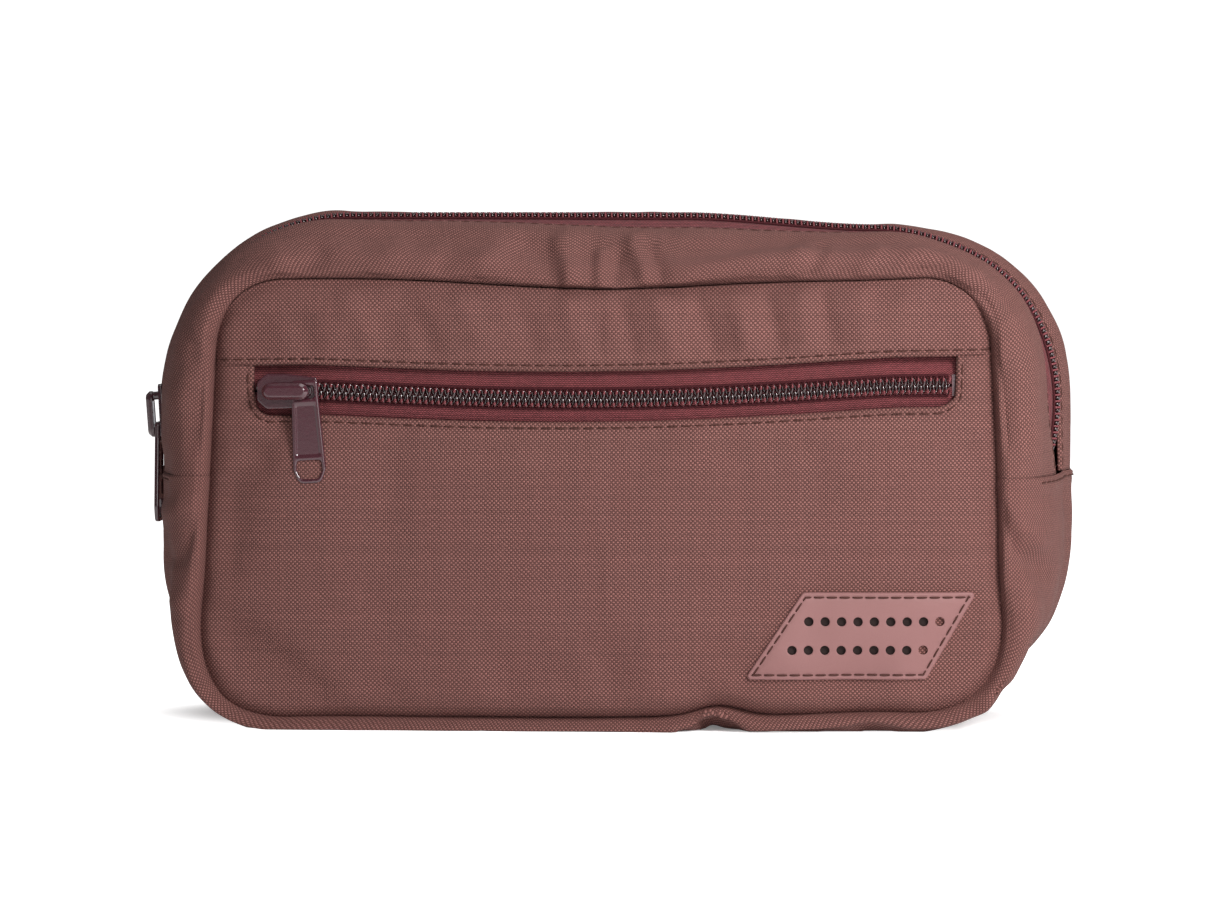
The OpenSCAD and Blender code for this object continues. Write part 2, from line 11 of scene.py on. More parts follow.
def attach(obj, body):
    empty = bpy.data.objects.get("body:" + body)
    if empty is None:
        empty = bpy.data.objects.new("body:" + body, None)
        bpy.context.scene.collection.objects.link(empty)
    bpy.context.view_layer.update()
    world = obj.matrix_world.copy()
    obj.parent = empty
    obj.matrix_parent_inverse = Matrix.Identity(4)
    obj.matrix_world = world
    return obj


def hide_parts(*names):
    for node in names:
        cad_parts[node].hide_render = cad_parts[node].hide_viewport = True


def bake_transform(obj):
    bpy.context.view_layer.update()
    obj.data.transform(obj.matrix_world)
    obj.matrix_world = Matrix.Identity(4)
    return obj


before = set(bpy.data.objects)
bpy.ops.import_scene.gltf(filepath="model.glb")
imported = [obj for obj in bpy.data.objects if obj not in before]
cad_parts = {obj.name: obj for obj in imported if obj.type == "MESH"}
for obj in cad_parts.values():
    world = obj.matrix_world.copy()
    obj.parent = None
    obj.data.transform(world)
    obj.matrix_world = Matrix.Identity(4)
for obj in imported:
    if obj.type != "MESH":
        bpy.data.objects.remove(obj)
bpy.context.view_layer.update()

S = 0.001  # everything below is in millimetres until a mesh is made
scene = bpy.context.scene
pi = math.pi


# ============================================================ helpers: arrays
def unit(v, axis=-1):
    return v / np.maximum(np.linalg.norm(v, axis=axis, keepdims=True), 1e-9)


def gauss(d, w):
    return np.exp(-(d / w) ** 2)


def smooth01(t):
    t = np.clip(t, 0, 1)
    return t * t * (3 - 2 * t)


def resample(P, n, s=None):
    """n points (or at fractions s) along a polyline, by arc length."""
    P = np.asarray(P, float)
    seg = np.linalg.norm(np.diff(P, axis=0), axis=1)
    c = np.concatenate([[0], np.cumsum(seg)])
    t = np.linspace(0, c[-1], n) if s is None else np.asarray(s) * c[-1]
    return np.stack([np.interp(t, c, P[:, k]) for k in range(P.shape[1])], 1)


def catmull(P, n):
    """A smooth curve through P's rows, n samples per span; works on any trailing shape."""
    P = np.asarray(P, float)
    E = np.concatenate([[2 * P[0] - P[1]], P, [2 * P[-1] - P[-2]]])
    out = []
    for i in range(len(P) - 1):
        a, b, c, d = E[i], E[i + 1], E[i + 2], E[i + 3]
        for k in range(n):
            t = k / n
            out.append(0.5 * (2 * b + (c - a) * t + (2 * a - 5 * b + 4 * c - d) * t * t + (3 * b - a - 3 * c + d) * t ** 3))
    out.append(P[-1])
    return np.array(out)


def cubic_weights(t):
    return np.stack([-0.5 * t + t * t - 0.5 * t ** 3, 1 - 2.5 * t * t + 1.5 * t ** 3, 0.5 * t + 2 * t * t - 1.5 * t ** 3, -0.5 * t * t + 0.5 * t ** 3], -1)


def sample_grid(D, a, b):
    """Bicubic samples of a grid of vectors at index coordinates a, b."""
    n, m = D.shape[:2]
    a = np.clip(a, 0, n - 1.001)
    b = np.clip(b, 0, m - 1.001)
    ia, ib = np.floor(a).astype(int), np.floor(b).astype(int)
    wa, wb = cubic_weights(a - ia), cubic_weights(b - ib)
    out = 0
    for i in range(4):
        for j in range(4):
            out = out + D[np.clip(ia + i - 1, 0, n - 1), np.clip(ib + j - 1, 0, m - 1)] * (wa[..., i] * wb[..., j])[..., None]
    return out


def value_noise(x, z, scale, seed):
    """Smooth noise in about -1..1 from a seeded lattice."""
    rng = np.random.RandomState(seed)
    L = rng.uniform(-1, 1, (64, 64, 1))
    a, b = (x / scale) % 60 + 1, (z / scale) % 60 + 1
    return sample_grid(L, a, b)[..., 0]


# ============================================================ helpers: meshes
def grid_faces(n, m, wrap=False):
    i, j = np.meshgrid(np.arange(n - 1), np.arange(m if wrap else m - 1), indexing="ij")
    j2 = (j + 1) % m
    return np.stack([i * m + j, i * m + j2, (i + 1) * m + j2, (i + 1) * m + j], -1).reshape(-1, 4)


def vertex_normals(V, F):
    N = np.zeros_like(V)
    F = np.asarray(F)
    a, b, c = V[F[:, 0]], V[F[:, 1]], V[F[:, 2]]
    fn = np.cross(b - a, c - a)
    if F.shape[1] == 4:
        d = V[F[:, 3]]
        fn = np.cross(c - a, d - b)
    for k in range(F.shape[1]):
        np.add.at(N, F[:, k], fn)
    return unit(N)


def thicken(V, F, t, uv=None):
    """A closed solid: the sheet and its copy t inwards, joined round every open edge."""
    F = np.asarray(F)
    N = vertex_normals(V, F)
    n = len(V)
    k = F.shape[1]
    E = np.concatenate([F[:, [i, (i + 1) % k]] for i in range(k)])
    key = np.sort(E, 1)
    _, idx, cnt = np.unique(key, axis=0, return_index=True, return_counts=True)
    B = E[idx[cnt == 1]]
    faces = [tuple(f) for f in F] + [tuple(f[::-1] + n) for f in F]
    faces += [(int(b), int(a), int(a) + n, int(b) + n) for a, b in B]
    V2 = np.concatenate([V, V - N * t])
    return V2, faces, None if uv is None else np.concatenate([uv, uv])


def make(name, V, F, mat, body="pack", uv=None, slot=None, replaces=(), smooth=True, angle=None):
    me = bpy.data.meshes.new(name)
    V = np.asarray(V, float)
    me.from_pydata((V * S).tolist(), [], [tuple(int(i) for i in f) for f in F])
    if uv is not None:
        layer = me.uv_layers.new(name="UVMap")
        li = np.empty(len(me.loops), np.int32)
        me.loops.foreach_get("vertex_index", li)
        layer.data.foreach_set("uv", np.asarray(uv, np.float32)[li].ravel())
    me.validate()
    me.materials.append(mat)
    ob = bpy.data.objects.new(name, me)
    scene.collection.objects.link(ob)
    if smooth:
        me.polygons.foreach_set("use_smooth", np.ones(len(me.polygons), bool))
    if angle is not None:
        me.set_sharp_from_angle(angle=math.radians(angle))
    if body:
        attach(ob, body)
    if replaces:
        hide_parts(*replaces)
    return ob


class Bag:
    """Collects many small closed pieces into one mesh."""
    def __init__(self):
        self.V, self.F, self.U, self.n = [], [], [], 0

    def add(self, V, F, uv=None):
        V = np.asarray(V, float)
        self.V.append(V)
        self.U.append(np.zeros((len(V), 2)) if uv is None else uv)
        self.F += [tuple(int(i) + self.n for i in f) for f in F]
        self.n += len(V)

    def make(self, name, mat, **k):
        return make(name, np.concatenate(self.V), self.F, mat, uv=np.concatenate(self.U), **k)


def tube(P, r, sides=8, ref=None, closed=False, flat=1.0, caps=True):
    """A round (or flattened) tube along P. ref keeps the section from twisting."""
    P = np.asarray(P, float)
    n = len(P)
    if closed:
        T = unit(np.roll(P, -1, 0) - np.roll(P, 1, 0))
    else:
        T = unit(np.gradient(P, axis=0))
    ref = np.array([0, 0, 1.0]) if ref is None else np.asarray(ref, float)
    A = unit(np.cross(np.broadcast_to(ref, P.shape), T))
    B = np.cross(T, A)
    a = np.arange(sides) * 2 * pi / sides
    r = np.broadcast_to(np.asarray(r, float), (n,))
    V = P[:, None] + (A[:, None] * np.cos(a)[None, :, None] + B[:, None] * flat * np.sin(a)[None, :, None]) * r[:, None, None]
    V = V.reshape(-1, 3)
    F = []
    rings = n if closed else n - 1
    for i in range(rings):
        j = (i + 1) % n
        for k in range(sides):
            l = (k + 1) % sides
            F.append((i * sides + k, i * sides + l, j * sides + l, j * sides + k))
    if not closed and caps:
        F.append(tuple(range(sides))[::-1])
        F.append(tuple((n - 1) * sides + k for k in range(sides)))
    length = np.concatenate([[0], np.cumsum(np.linalg.norm(np.diff(P, axis=0), axis=1))])
    uv = np.stack([np.repeat(length, sides), np.tile(np.arange(sides) * r.mean(), n)], 1)
    return V, F, uv


def cdt(outline, inner, holes=()):
    """Triangles over the region inside outline, using the inner points."""
    pts = [Vector(p) for p in outline]
    edges = [(i, (i + 1) % len(outline)) for i in range(len(outline))]
    for h in holes:
        k = len(pts)
        pts += [Vector(p) for p in h]
        edges += [(k + i, k + (i + 1) % len(h)) for i in range(len(h))]
    pts += [Vector(p) for p in inner]
    r = delaunay_2d_cdt(pts, edges, [], 1 if not holes else 2, 1e-5)
    V = np.array([tuple(v) for v in r[0]])
    F = np.array([tuple(f) for f in r[2]])
    c = V[F].mean(1)
    keep = inside(c, outline)
    for h in holes:
        keep &= ~inside(c, h)
    F = F[keep]
    area = np.cross(V[F[:, 1]] - V[F[:, 0]], V[F[:, 2]] - V[F[:, 0]])
    F[area < 0] = F[area < 0][:, ::-1]
    F = F[np.abs(area) > 1e-7]
    used = np.unique(F)
    m = np.full(len(V), -1)
    m[used] = np.arange(len(used))
    return V[used], m[F]


def inside(P, poly):
    poly = np.asarray(poly)
    x, y = P[:, 0], P[:, 1]
    r = np.zeros(len(P), bool)
    for i in range(len(poly)):
        x1, y1 = poly[i]
        x2, y2 = poly[(i + 1) % len(poly)]
        hit = (y1 > y) != (y2 > y)
        with np.errstate(divide="ignore", invalid="ignore"):
            r ^= hit & (x < (x2 - x1) * (y - y1) / (y2 - y1 + 1e-12) + x1)
    return r


def dist_poly(P, poly, closed=True):
    """Distance from points to a polyline."""
    poly = np.asarray(poly, float)
    A = poly
    B = np.roll(poly, -1, 0)
    if not closed:
        A, B = poly[:-1], poly[1:]
    best = np.full(len(P), 1e9)
    for a, b in zip(A, B):
        d = b - a
        t = np.clip(((P - a) @ d) / max(d @ d, 1e-12), 0, 1)
        best = np.minimum(best, np.linalg.norm(P - a - t[:, None] * d, axis=1))
    return best


# ============================================================ the pouch's shape
# a station is [depth, lower corner x, z, radius, upper corner x, z, radius], as in the part's source
SEAM_Z = 77.0
ZIP_Y, ARC_X, ARC_Z, TAPE_R = -4.0, 80.0, 98.5, 56.2
FZ, FTILT, FR, FARC = 103.8, 0.6, 1100.0, -42.5


def half_outline(s, nl, nh):
    """Right half of a station's outline, from the bottom's middle over the gusset seam to the top's middle."""
    y, lx, lz, lr, ux, uz, ur = s
    dx, dz = ux - lx, uz - lz
    f = math.atan2(dz, dx) - math.acos((lr - ur) / math.hypot(dx, dz))
    lo = lambda a: np.stack([lx + lr * np.cos(a), lz + lr * np.sin(a)], -1)
    up = lambda a: np.stack([ux + ur * np.cos(a), uz + ur * np.sin(a)], -1)
    p, q = lo(np.array(f)), up(np.array(f))
    m = p + (q - p) * (SEAM_Z - p[1]) / (q[1] - p[1])
    low = np.concatenate([[[0, lz - lr]], lo(np.linspace(-pi / 2, f, 60)), [m]])
    high = np.concatenate([[m], up(np.linspace(f, pi / 2, 60)), [[0, uz + ur]]])
    return resample(low, nl), resample(high, nh)


def grow(s, d, y=None):
    return [s[0] if y is None else y, s[1], s[2], s[3] + d, s[4], s[5], s[6] + d]


def mix(s, q, t, y=None):
    r = [a + (b - a) * t for a, b in zip(s, q)]
    if y is not None:
        r[0] = y
    return r


FS = [-36.0, 91.5, 36.0, 28.5, 95.0, 115.5, 20.5]       # front seam
S2 = [-30.5, 90, 42, 42, 87, 105, 43.5]
S3 = [-22.5, 88.5, 47, 47, 82.5, 101, 53]
SZF = [-12.4, 88.5, 50, 50, 80.2, 98.5, 56.6]
SZR = [4.4, 90, 50, 50, 81, 98.5, 57.2]
S5 = [17, 92.5, 50, 50, 85, 99.5, 56.8]
S6 = [31, 94, 45.5, 45.5, 89, 102, 50.5]
S7 = [38.5, 98, 38.5, 33.5, 94.5, 108, 37.5]            # back seam
FRONT_STATIONS = [grow(FS, -0.7, -33.5), grow(FS, -0.1, -36.4), grow(FS, 0.7, -38.6), grow(FS, 2.0, -39.9), grow(FS, 4.2, -39.9),
                  mix(FS, S2, 0.62, -37.4), S2, S3, SZF]
REAR_STATIONS = [SZR, [10, 91, 50, 50, 83, 98.8, 57.4], S5, S6, mix(S6, S7, 0.5, 36.6), S7, grow(S7, -2.2, 41.0), grow(S7, -3.6, 40.4), grow(S7, -4.2, 37.5)]
ALL_STATIONS = FRONT_STATIONS + REAR_STATIONS


def tape_y(x):
    return FARC + FR - np.sqrt(FR * FR - x * x)


def zip_z(x):
    """Centre line of the pocket zip: a straight chord with a sag between the slider's two ends of travel."""
    return FZ + x * math.tan(math.radians(FTILT)) - 3.0 * np.maximum(0, 1 - (x / 88.0) ** 2) ** 1.25


def win_top(x):
    return zip_z(x) + 8.2 + 0.5 * (x / 110)


def win_low(x):
    return zip_z(x) - 6.9 + 0.5 * (x / 110)


def seam_loop(n=400, grow_by=0.0):
    """The front seam as a closed loop in x, z, counter-clockwise."""
    lo, hi = half_outline(grow(FS, grow_by), 200, 200)
    r = np.concatenate([lo, hi[1:]])
    l = r[::-1] * [-1, 1]
    loop = np.concatenate([r, l[1:-1]])
    loop = resample(np.concatenate([loop, loop[:1]]), n + 1)[:-1]
    return seam_warp(loop)


def seam_warp(p):
    """The seam dips at the middle of the top and is pinched up at one place of the bottom."""
    p = np.array(p, float)
    x, z = p[..., 0], p[..., 1]
    top = smooth01((z - 90) / 45)
    low = smooth01((50 - z) / 45)
    z = z + top * (-2.6 * gauss(x - 0, 42) + 0.5 * gauss(x + 75, 30) + 0.9 * gauss(x - 100, 16))
    z = z + low * (-2.3 + 3.0 * gauss(x - 35, 9) - 1.0 * gauss(x + 5, 40) - 1.2 * gauss(x + 70, 45) + 1.4 * gauss(x - 92, 26))
    p[..., 0] = x + smooth01((-x - 60) / 50) * (-2.6 - 0.8 * smooth01((40 - z) / 40)) + smooth01((x - 60) / 50) * (1.2 * smooth01((z - 40) / 50) - 0.6 * smooth01((40 - z) / 40))
    # the lower corners are squarer
    cl, cr = gauss(np.hypot(x + 110, z - 16), 19), gauss(np.hypot(x - 110, z - 16), 19)
    p[..., 0] += -3.0 * cl + 2.4 * cr
    p[..., 1] = z - 2.2 * cl - 1.8 * cr
    return p


# ============================================================ cloth
def cloth_grid(P, pin, pressure=2.0, growth=0.03, frames=14, cap=3.0, bend=0.12, stiff=12.0):
    """Simulates a sheet given as a grid of points, held where pin is 1. Returns the capped displacement."""
    n, m = P.shape[:2]
    me = bpy.data.meshes.new("sim")
    me.from_pydata((P.reshape(-1, 3) * S).tolist(), [], grid_faces(n, m).tolist())
    ob = bpy.data.objects.new("sim", me)
    scene.collection.objects.link(ob)
    g = ob.vertex_groups.new(name="pin")
    w = pin.reshape(-1)
    for val in np.unique(np.round(w, 2)):
        if val > 0:
            g.add(np.where(np.round(w, 2) == val)[0].tolist(), float(val), "REPLACE")
    mod = ob.modifiers.new("cloth", "CLOTH")
    st = mod.settings
    st.quality = 6
    st.mass = 0.12
    st.tension_stiffness = stiff
    st.compression_stiffness = stiff
    st.shear_stiffness = stiff * 0.4
    st.bending_stiffness = bend
    st.tension_damping = 6
    st.compression_damping = 6
    st.shear_damping = 6
    st.bending_damping = 0.6
    st.air_damping = 2
    st.vertex_group_mass = "pin"
    st.shrink_min = -growth
    st.use_pressure = True
    st.uniform_pressure_force = pressure
    st.effector_weights.gravity = 0
    mod.collision_settings.use_collision = False
    mod.collision_settings.use_self_collision = False
    mod.point_cache.frame_start = 1
    mod.point_cache.frame_end = frames
    for f in range(1, frames + 1):
        scene.frame_set(f)
    ev = ob.evaluated_get(bpy.context.evaluated_depsgraph_get())
    co = np.empty(n * m * 3)
    ev.data.vertices.foreach_get("co", co)
    D = co.reshape(n, m, 3) / S - P
    D[~np.isfinite(D)] = 0
    for _ in range(2):
        E = np.pad(D, ((1, 1), (1, 1), (0, 0)), mode="edge")
        D = 0.25 * D + 0.125 * (E[:-2, 1:-1] + E[2:, 1:-1] + E[1:-1, :-2] + E[1:-1, 2:]) + 0.0625 * (E[:-2, :-2] + E[2:, :-2] + E[:-2, 2:] + E[2:, 2:])
    L = np.linalg.norm(D, axis=-1, keepdims=True)
    D = D * np.minimum(1, cap * np.tanh(L / cap) / np.maximum(L, 1e-9))
    bpy.data.objects.remove(ob)
    bpy.data.meshes.remove(me)
    scene.frame_set(1)
    return D


# ============================================================ materials
class Nodes:
    def __init__(self, name):
        self.mat = bpy.data.materials.new(name)
        self.mat.use_nodes = True
        self.t = self.mat.node_tree
        self.bsdf = self.t.nodes["Principled BSDF"]

    def new(self, kind, **k):
        n = self.t.nodes.new(kind)
        for a, b in k.items():
            setattr(n, a, b)
        return n

    def link(self, a, b):
        self.t.links.new(a, b)

    def m(self, op, a, b=0.0, c=0.0):
        n = self.new("ShaderNodeMath", operation=op)
        for i, v in enumerate((a, b, c)):
            if isinstance(v, (int, float)):
                n.inputs[i].default_value = v
            else:
                self.link(v, n.inputs[i])
        return n.outputs[0]

    def mixc(self, f, a, b, mode="MIX"):
        n = self.new("ShaderNodeMix", data_type="RGBA", blend_type=mode)
        n.clamp_factor = True
        for i, v in ((0, f), (6, a), (7, b)):
            if isinstance(v, (int, float)):
                n.inputs[i].default_value = v
            elif isinstance(v, tuple):
                n.inputs[i].default_value = (*v, 1)
            else:
                self.link(v, n.inputs[i])
        return n.outputs[2]

    def scale(self, col, f):
        """col times a value socket."""
        n = self.new("ShaderNodeVectorMath", operation="SCALE")
        if isinstance(col, tuple):
            n.inputs[0].default_value = col
        else:
            self.link(col, n.inputs[0])
        if isinstance(f, (int, float)):
            n.inputs["Scale"].default_value = f
        else:
            self.link(f, n.inputs["Scale"])
        return n.outputs[0]

    def uv(self):
        return self.new("ShaderNodeUVMap", uv_map="UVMap").outputs[0]

    def pos(self):
        """Object coordinates in millimetres: they stay with the piece as it moves."""
        n = self.new("ShaderNodeVectorMath", operation="SCALE")
        self.link(self.new("ShaderNodeTexCoord").outputs["Object"], n.inputs[0])
        n.inputs["Scale"].default_value = 1000
        return n.outputs[0]

    def noise(self, vec, scale, detail=3.0, rough=0.5):
        n = self.new("ShaderNodeTexNoise")
        self.link(vec, n.inputs["Vector"])
        n.inputs["Scale"].default_value = scale
        n.inputs["Detail"].default_value = detail
        n.inputs["Roughness"].default_value = rough
        return n.outputs[0]

    def white(self, v):
        n = self.new("ShaderNodeTexWhiteNoise", noise_dimensions="1D")
        self.link(v, n.inputs["W"])
        return n.outputs[0]

    def bump(self, h, dist, strength=1.0, normal=None):
        n = self.new("ShaderNodeBump")
        n.inputs["Strength"].default_value = strength
        n.inputs["Distance"].default_value = dist * S
        self.link(h, n.inputs["Height"])
        if normal is not None:
            self.link(normal, n.inputs["Normal"])
        return n.outputs[0]

    def set(self, **k):
        for a, v in k.items():
            s = self.bsdf.inputs[a.replace("_", " ")]
            if isinstance(v, (int, float)):
                s.default_value = v
            elif isinstance(v, tuple):
                s.default_value = (*v, 1) if len(v) == 3 else v
            else:
                self.link(v, s)
        return self


def weave_material(name, warp, weft, gap, pu=0.72, pv=0.72, depth=0.16, sheen=0.2, rough=0.8, streak=0.12, vary=0.10, over=1, fuzz=0.0):
    """Plain weave (or a 2/1 rib with over=2) from UVs in millimetres."""
    n = Nodes(name)
    uv = n.uv()
    pos = n.pos()
    wob = n.noise(uv, 0.35, 2)
    sep = n.new("ShaderNodeSeparateXYZ")
    n.link(uv, sep.inputs[0])
    w = n.m("MULTIPLY", n.m("SUBTRACT", wob, 0.5), 0.5)
    u = n.m("DIVIDE", n.m("ADD", n.m("ADD", sep.outputs[0], w), 4000), pu)
    v = n.m("DIVIDE", n.m("ADD", n.m("ADD", sep.outputs[1], w), 4000), pv)
    iu, iv = n.m("FLOOR", u), n.m("FLOOR", v)
    fu, fv = n.m("FRACT", u), n.m("FRACT", v)
    par = n.m("FLOORED_MODULO", n.m("ADD", n.m("FLOOR", n.m("DIVIDE", iu, over)), n.m("FLOOR", n.m("DIVIDE", iv, 1))), 2)
    su = n.m("SINE", n.m("MULTIPLY", fu, pi))
    sv = n.m("SINE", n.m("MULTIPLY", fv, pi))
    ha = n.m("MULTIPLY", n.m("POWER", su, 0.6), n.m("ADD", 0.5, n.m("MULTIPLY", sv, 0.5)))
    hb = n.m("MULTIPLY", n.m("POWER", sv, 0.6), n.m("ADD", 0.5, n.m("MULTIPLY", su, 0.5)))
    mixv = lambda a, b: n.m("ADD", n.m("MULTIPLY", a, n.m("SUBTRACT", 1, par)), n.m("MULTIPLY", b, par))
    h = mixv(ha, hb)
    rnd = mixv(n.white(iu), n.white(n.m("ADD", iv, 0.5)))
    # The two thread colours are the yarns' own and, where they differ strongly as in the shell, also painted highlight
    # on the lighter weft and painted shade on the darker warp.
    col = n.mixc(par, warp, weft)
    # Low between the threads the colour turns to gap: painted shade in the hollows of the weave.
    col = n.mixc(n.m("SMOOTH_MIN", n.m("MULTIPLY", h, 1.25), 1.0, 0.2), gap, col)
    big = n.noise(pos, 0.022, 3, 0.55)
    mid = n.noise(pos, 0.12, 3, 0.6)
    f = n.m("ADD", 1.0, n.m("MULTIPLY", n.m("SUBTRACT", rnd, 0.5), streak * 2))
    f = n.m("MULTIPLY", f, n.m("ADD", 1.0, n.m("MULTIPLY", n.m("SUBTRACT", big, 0.5), vary * 2)))
    f = n.m("MULTIPLY", f, n.m("ADD", 1.0, n.m("MULTIPLY", n.m("SUBTRACT", mid, 0.5), vary * 1.6)))
    col = n.scale(col, f)
    hh = n.m("ADD", h, n.m("MULTIPLY", n.noise(uv, 3.2, 3, 0.7), 0.25))
    bump = n.bump(hh, depth)
    bump2 = n.bump(n.noise(pos, 0.09, 3, 0.6), 0.5, 0.5, bump)
    n.set(Base_Color=col, Roughness=n.m("ADD", rough - 0.08, n.m("MULTIPLY", mid, 0.16)), Normal=bump2, Sheen_Weight=sheen, Sheen_Roughness=0.45, Specular_IOR_Level=0.3)
    n.bsdf.inputs["Sheen Tint"].default_value = (*[min(1, c * 3) for c in weft], 1)
    return n.mat


def knit_material(name, base, dark, pu=0.95, pv=0.62, depth=0.14):
    """Warp-knitted tape: columns of small slanted loops, from UVs in millimetres (u along the tape)."""
    n = Nodes(name)
    uv = n.uv()
    sep = n.new("ShaderNodeSeparateXYZ")
    n.link(uv, sep.inputs[0])
    u = n.m("DIVIDE", n.m("ADD", sep.outputs[0], 4000), pu)
    v = n.m("DIVIDE", n.m("ADD", sep.outputs[1], 4000), pv)
    iv = n.m("FLOOR", v)
    odd = n.m("FLOORED_MODULO", iv, 2)
    lean = n.m("MULTIPLY", n.m("SUBTRACT", n.m("FRACT", v), 0.5), n.m("SUBTRACT", 1.2, n.m("MULTIPLY", odd, 2.4)))
    su = n.m("SINE", n.m("MULTIPLY", n.m("FRACT", n.m("ADD", n.m("ADD", u, lean), n.m("MULTIPLY", odd, 0.5))), pi))
    sv = n.m("SINE", n.m("MULTIPLY", n.m("FRACT", v), pi))
    h = n.m("MULTIPLY", n.m("POWER", su, 1.3), n.m("POWER", sv, 0.9))
    rnd = n.white(n.m("ADD", n.m("FLOOR", u), n.m("MULTIPLY", iv, 17.3)))
    pos = n.pos()
    big = n.noise(pos, 0.07, 3)
    # Between the loops the colour turns to dark: painted shade in the hollows of the knit.
    col = n.mixc(n.m("MINIMUM", n.m("MULTIPLY", h, 1.3), 1.0), dark, base)
    f = n.m("MULTIPLY", n.m("ADD", 0.86, n.m("MULTIPLY", rnd, 0.28)), n.m("ADD", 0.85, n.m("MULTIPLY", big, 0.3)))
    col = n.scale(col, f)
    n.set(Base_Color=col, Roughness=0.72, Normal=n.bump(h, depth), Sheen_Weight=0.04, Specular_IOR_Level=0.25)
    return n.mat


def paint_material(name, base, edge, rough=0.16, metal=0.25, coat=0.7, worn=0.5):
    """Glossy enamel on metal: orange peel, fine scuffs, paler worn edges."""
    n = Nodes(name)
    pos = n.pos()
    geo = n.new("ShaderNodeNewGeometry")
    scuff = n.noise(pos, 1.7, 6, 0.75)
    fine = n.noise(pos, 6.0, 4, 0.6)
    edgeness = n.m("SMOOTH_MAX", n.m("MULTIPLY", n.m("SUBTRACT", geo.outputs["Pointiness"], 0.53), 6.0), 0.0, 0.05)
    wear = n.m("MULTIPLY", n.m("MINIMUM", n.m("MULTIPLY", edgeness, n.m("ADD", 0.4, scuff)), 1.0), worn)
    col = n.mixc(wear, base, edge)
    col = n.scale(col, n.m("ADD", 0.85, n.m("MULTIPLY", scuff, 0.3)))
    n.set(Base_Color=col, Metallic=metal, Roughness=n.m("ADD", rough, n.m("MULTIPLY", scuff, 0.14)), Coat_Weight=coat, Coat_Roughness=0.06,
          Normal=n.bump(n.m("ADD", n.noise(pos, 0.9, 2), n.m("MULTIPLY", fine, 0.2)), 0.05, 0.6))
    return n.mat


def plastic_material(name, base, rough=0.35, grain=1.2, depth=0.04, vary=0.25, spec=0.5):
    n = Nodes(name)
    pos = n.pos()
    a = n.noise(pos, grain, 4, 0.65)
    b = n.noise(pos, 0.08, 2)
    col = n.scale(base, n.m("ADD", 1 - vary / 2, n.m("MULTIPLY", a, vary)))
    n.set(Base_Color=col, Roughness=n.m("ADD", rough - 0.06, n.m("MULTIPLY", b, 0.14)), Specular_IOR_Level=spec, Normal=n.bump(a, depth))
    return n.mat


def thread_material(name, base, dark, pitch=0.5):
    """Twisted sewing thread: slanted plies along the thread."""
    n = Nodes(name)
    uv = n.uv()
    sep = n.new("ShaderNodeSeparateXYZ")
    n.link(uv, sep.inputs[0])
    ply = n.m("SINE", n.m("MULTIPLY", n.m("ADD", n.m("DIVIDE", sep.outputs[0], pitch), n.m("MULTIPLY", sep.outputs[1], 1.6)), 2 * pi))
    h = n.m("ADD", 0.5, n.m("MULTIPLY", ply, 0.5))
    # dark lies in the grooves between the plies: painted shade.
    col = n.mixc(h, dark, base)
    n.set(Base_Color=col, Roughness=0.85, Normal=n.bump(h, 0.05), Specular_IOR_Level=0.15)
    return n.mat


# In the weaves (shell, lining, webbing, binding) the third colour, gap, is painted shade between the threads; the
# shell's weft, far lighter than its warp, also carries painted highlight.
SHELL = weave_material("shell_weave", (0.096, 0.0360, 0.0305), (0.242, 0.1030, 0.0895), (0.028, 0.0100, 0.0085), 0.64, 0.64, 0.18, 0.06, 0.82, 0.09, 0.07)
LINING = weave_material("lining_weave", (0.10, 0.085, 0.085), (0.13, 0.11, 0.11), (0.03, 0.026, 0.026), 0.4, 0.4, 0.06, 0.05, 0.6)
WEBBING = weave_material("webbing_weave", (0.085, 0.034, 0.034), (0.13, 0.055, 0.053), (0.02, 0.008, 0.008), 1.5, 0.95, 0.3, 0.2, 0.6, 0.2, 0.1, 2)
# the tape's second, near-black colour is painted shade between the knit's loops
TAPE = knit_material("zip_tape_knit", (0.235, 0.052, 0.058), (0.030, 0.004, 0.0055), depth=0.24)
# in the thread materials the second, darker colour is painted shade in the grooves between the plies
TAPE_THREAD = thread_material("zip_thread", (0.26, 0.078, 0.086), (0.085, 0.018, 0.022), 0.6)
THREAD = thread_material("sewing_thread", (0.100, 0.040, 0.032), (0.020, 0.008, 0.007), 0.45)
COIL = plastic_material("coil_nylon", (0.024, 0.0045, 0.0055), 0.10, 1.5, 0.012, 0.3, 1.0)
PAINT = paint_material("enamel_plum", (0.050, 0.0105, 0.0170), (0.24, 0.12, 0.13), rough=0.08, metal=0.0, coat=1.0, worn=0.35)
BADGE = plastic_material("badge_rubber", (0.215, 0.101, 0.097), 0.55, 2.4, 0.05, 0.10, 0.3)
# near-black sheet colour: painted shade for the badge's holes
BADGE_HOLE_SHADE = plastic_material("badge_hole_painted_shade", (0.02, 0.012, 0.011), 0.8, 1.5, 0.08, 0.4, 0.2)
BUCKLE = plastic_material("buckle_nylon", (0.06, 0.022, 0.025), 0.36, 1.6, 0.05, 0.3, 0.5)
STEEL = plastic_material("spring_steel", (0.5, 0.5, 0.52), 0.28, 0.7, 0.02, 0.2, 0.6)
STEEL.node_tree.nodes["Principled BSDF"].inputs["Metallic"].default_value = 1.0
FOAM = plastic_material("foam_cells", (0.025, 0.025, 0.026), 0.9, 2.2, 0.5, 0.6, 0.2)
# the cord's darker colour, too, is painted shade between its plies
CORD = thread_material("zip_cord", (0.075, 0.014, 0.018), (0.018, 0.003, 0.004), 0.9)
BINDING = weave_material("binding_rib", (0.09, 0.036, 0.035), (0.13, 0.055, 0.053), (0.02, 0.008, 0.008), 1.1, 0.6, 0.2, 0.2, 0.65, 0.15, 0.1)


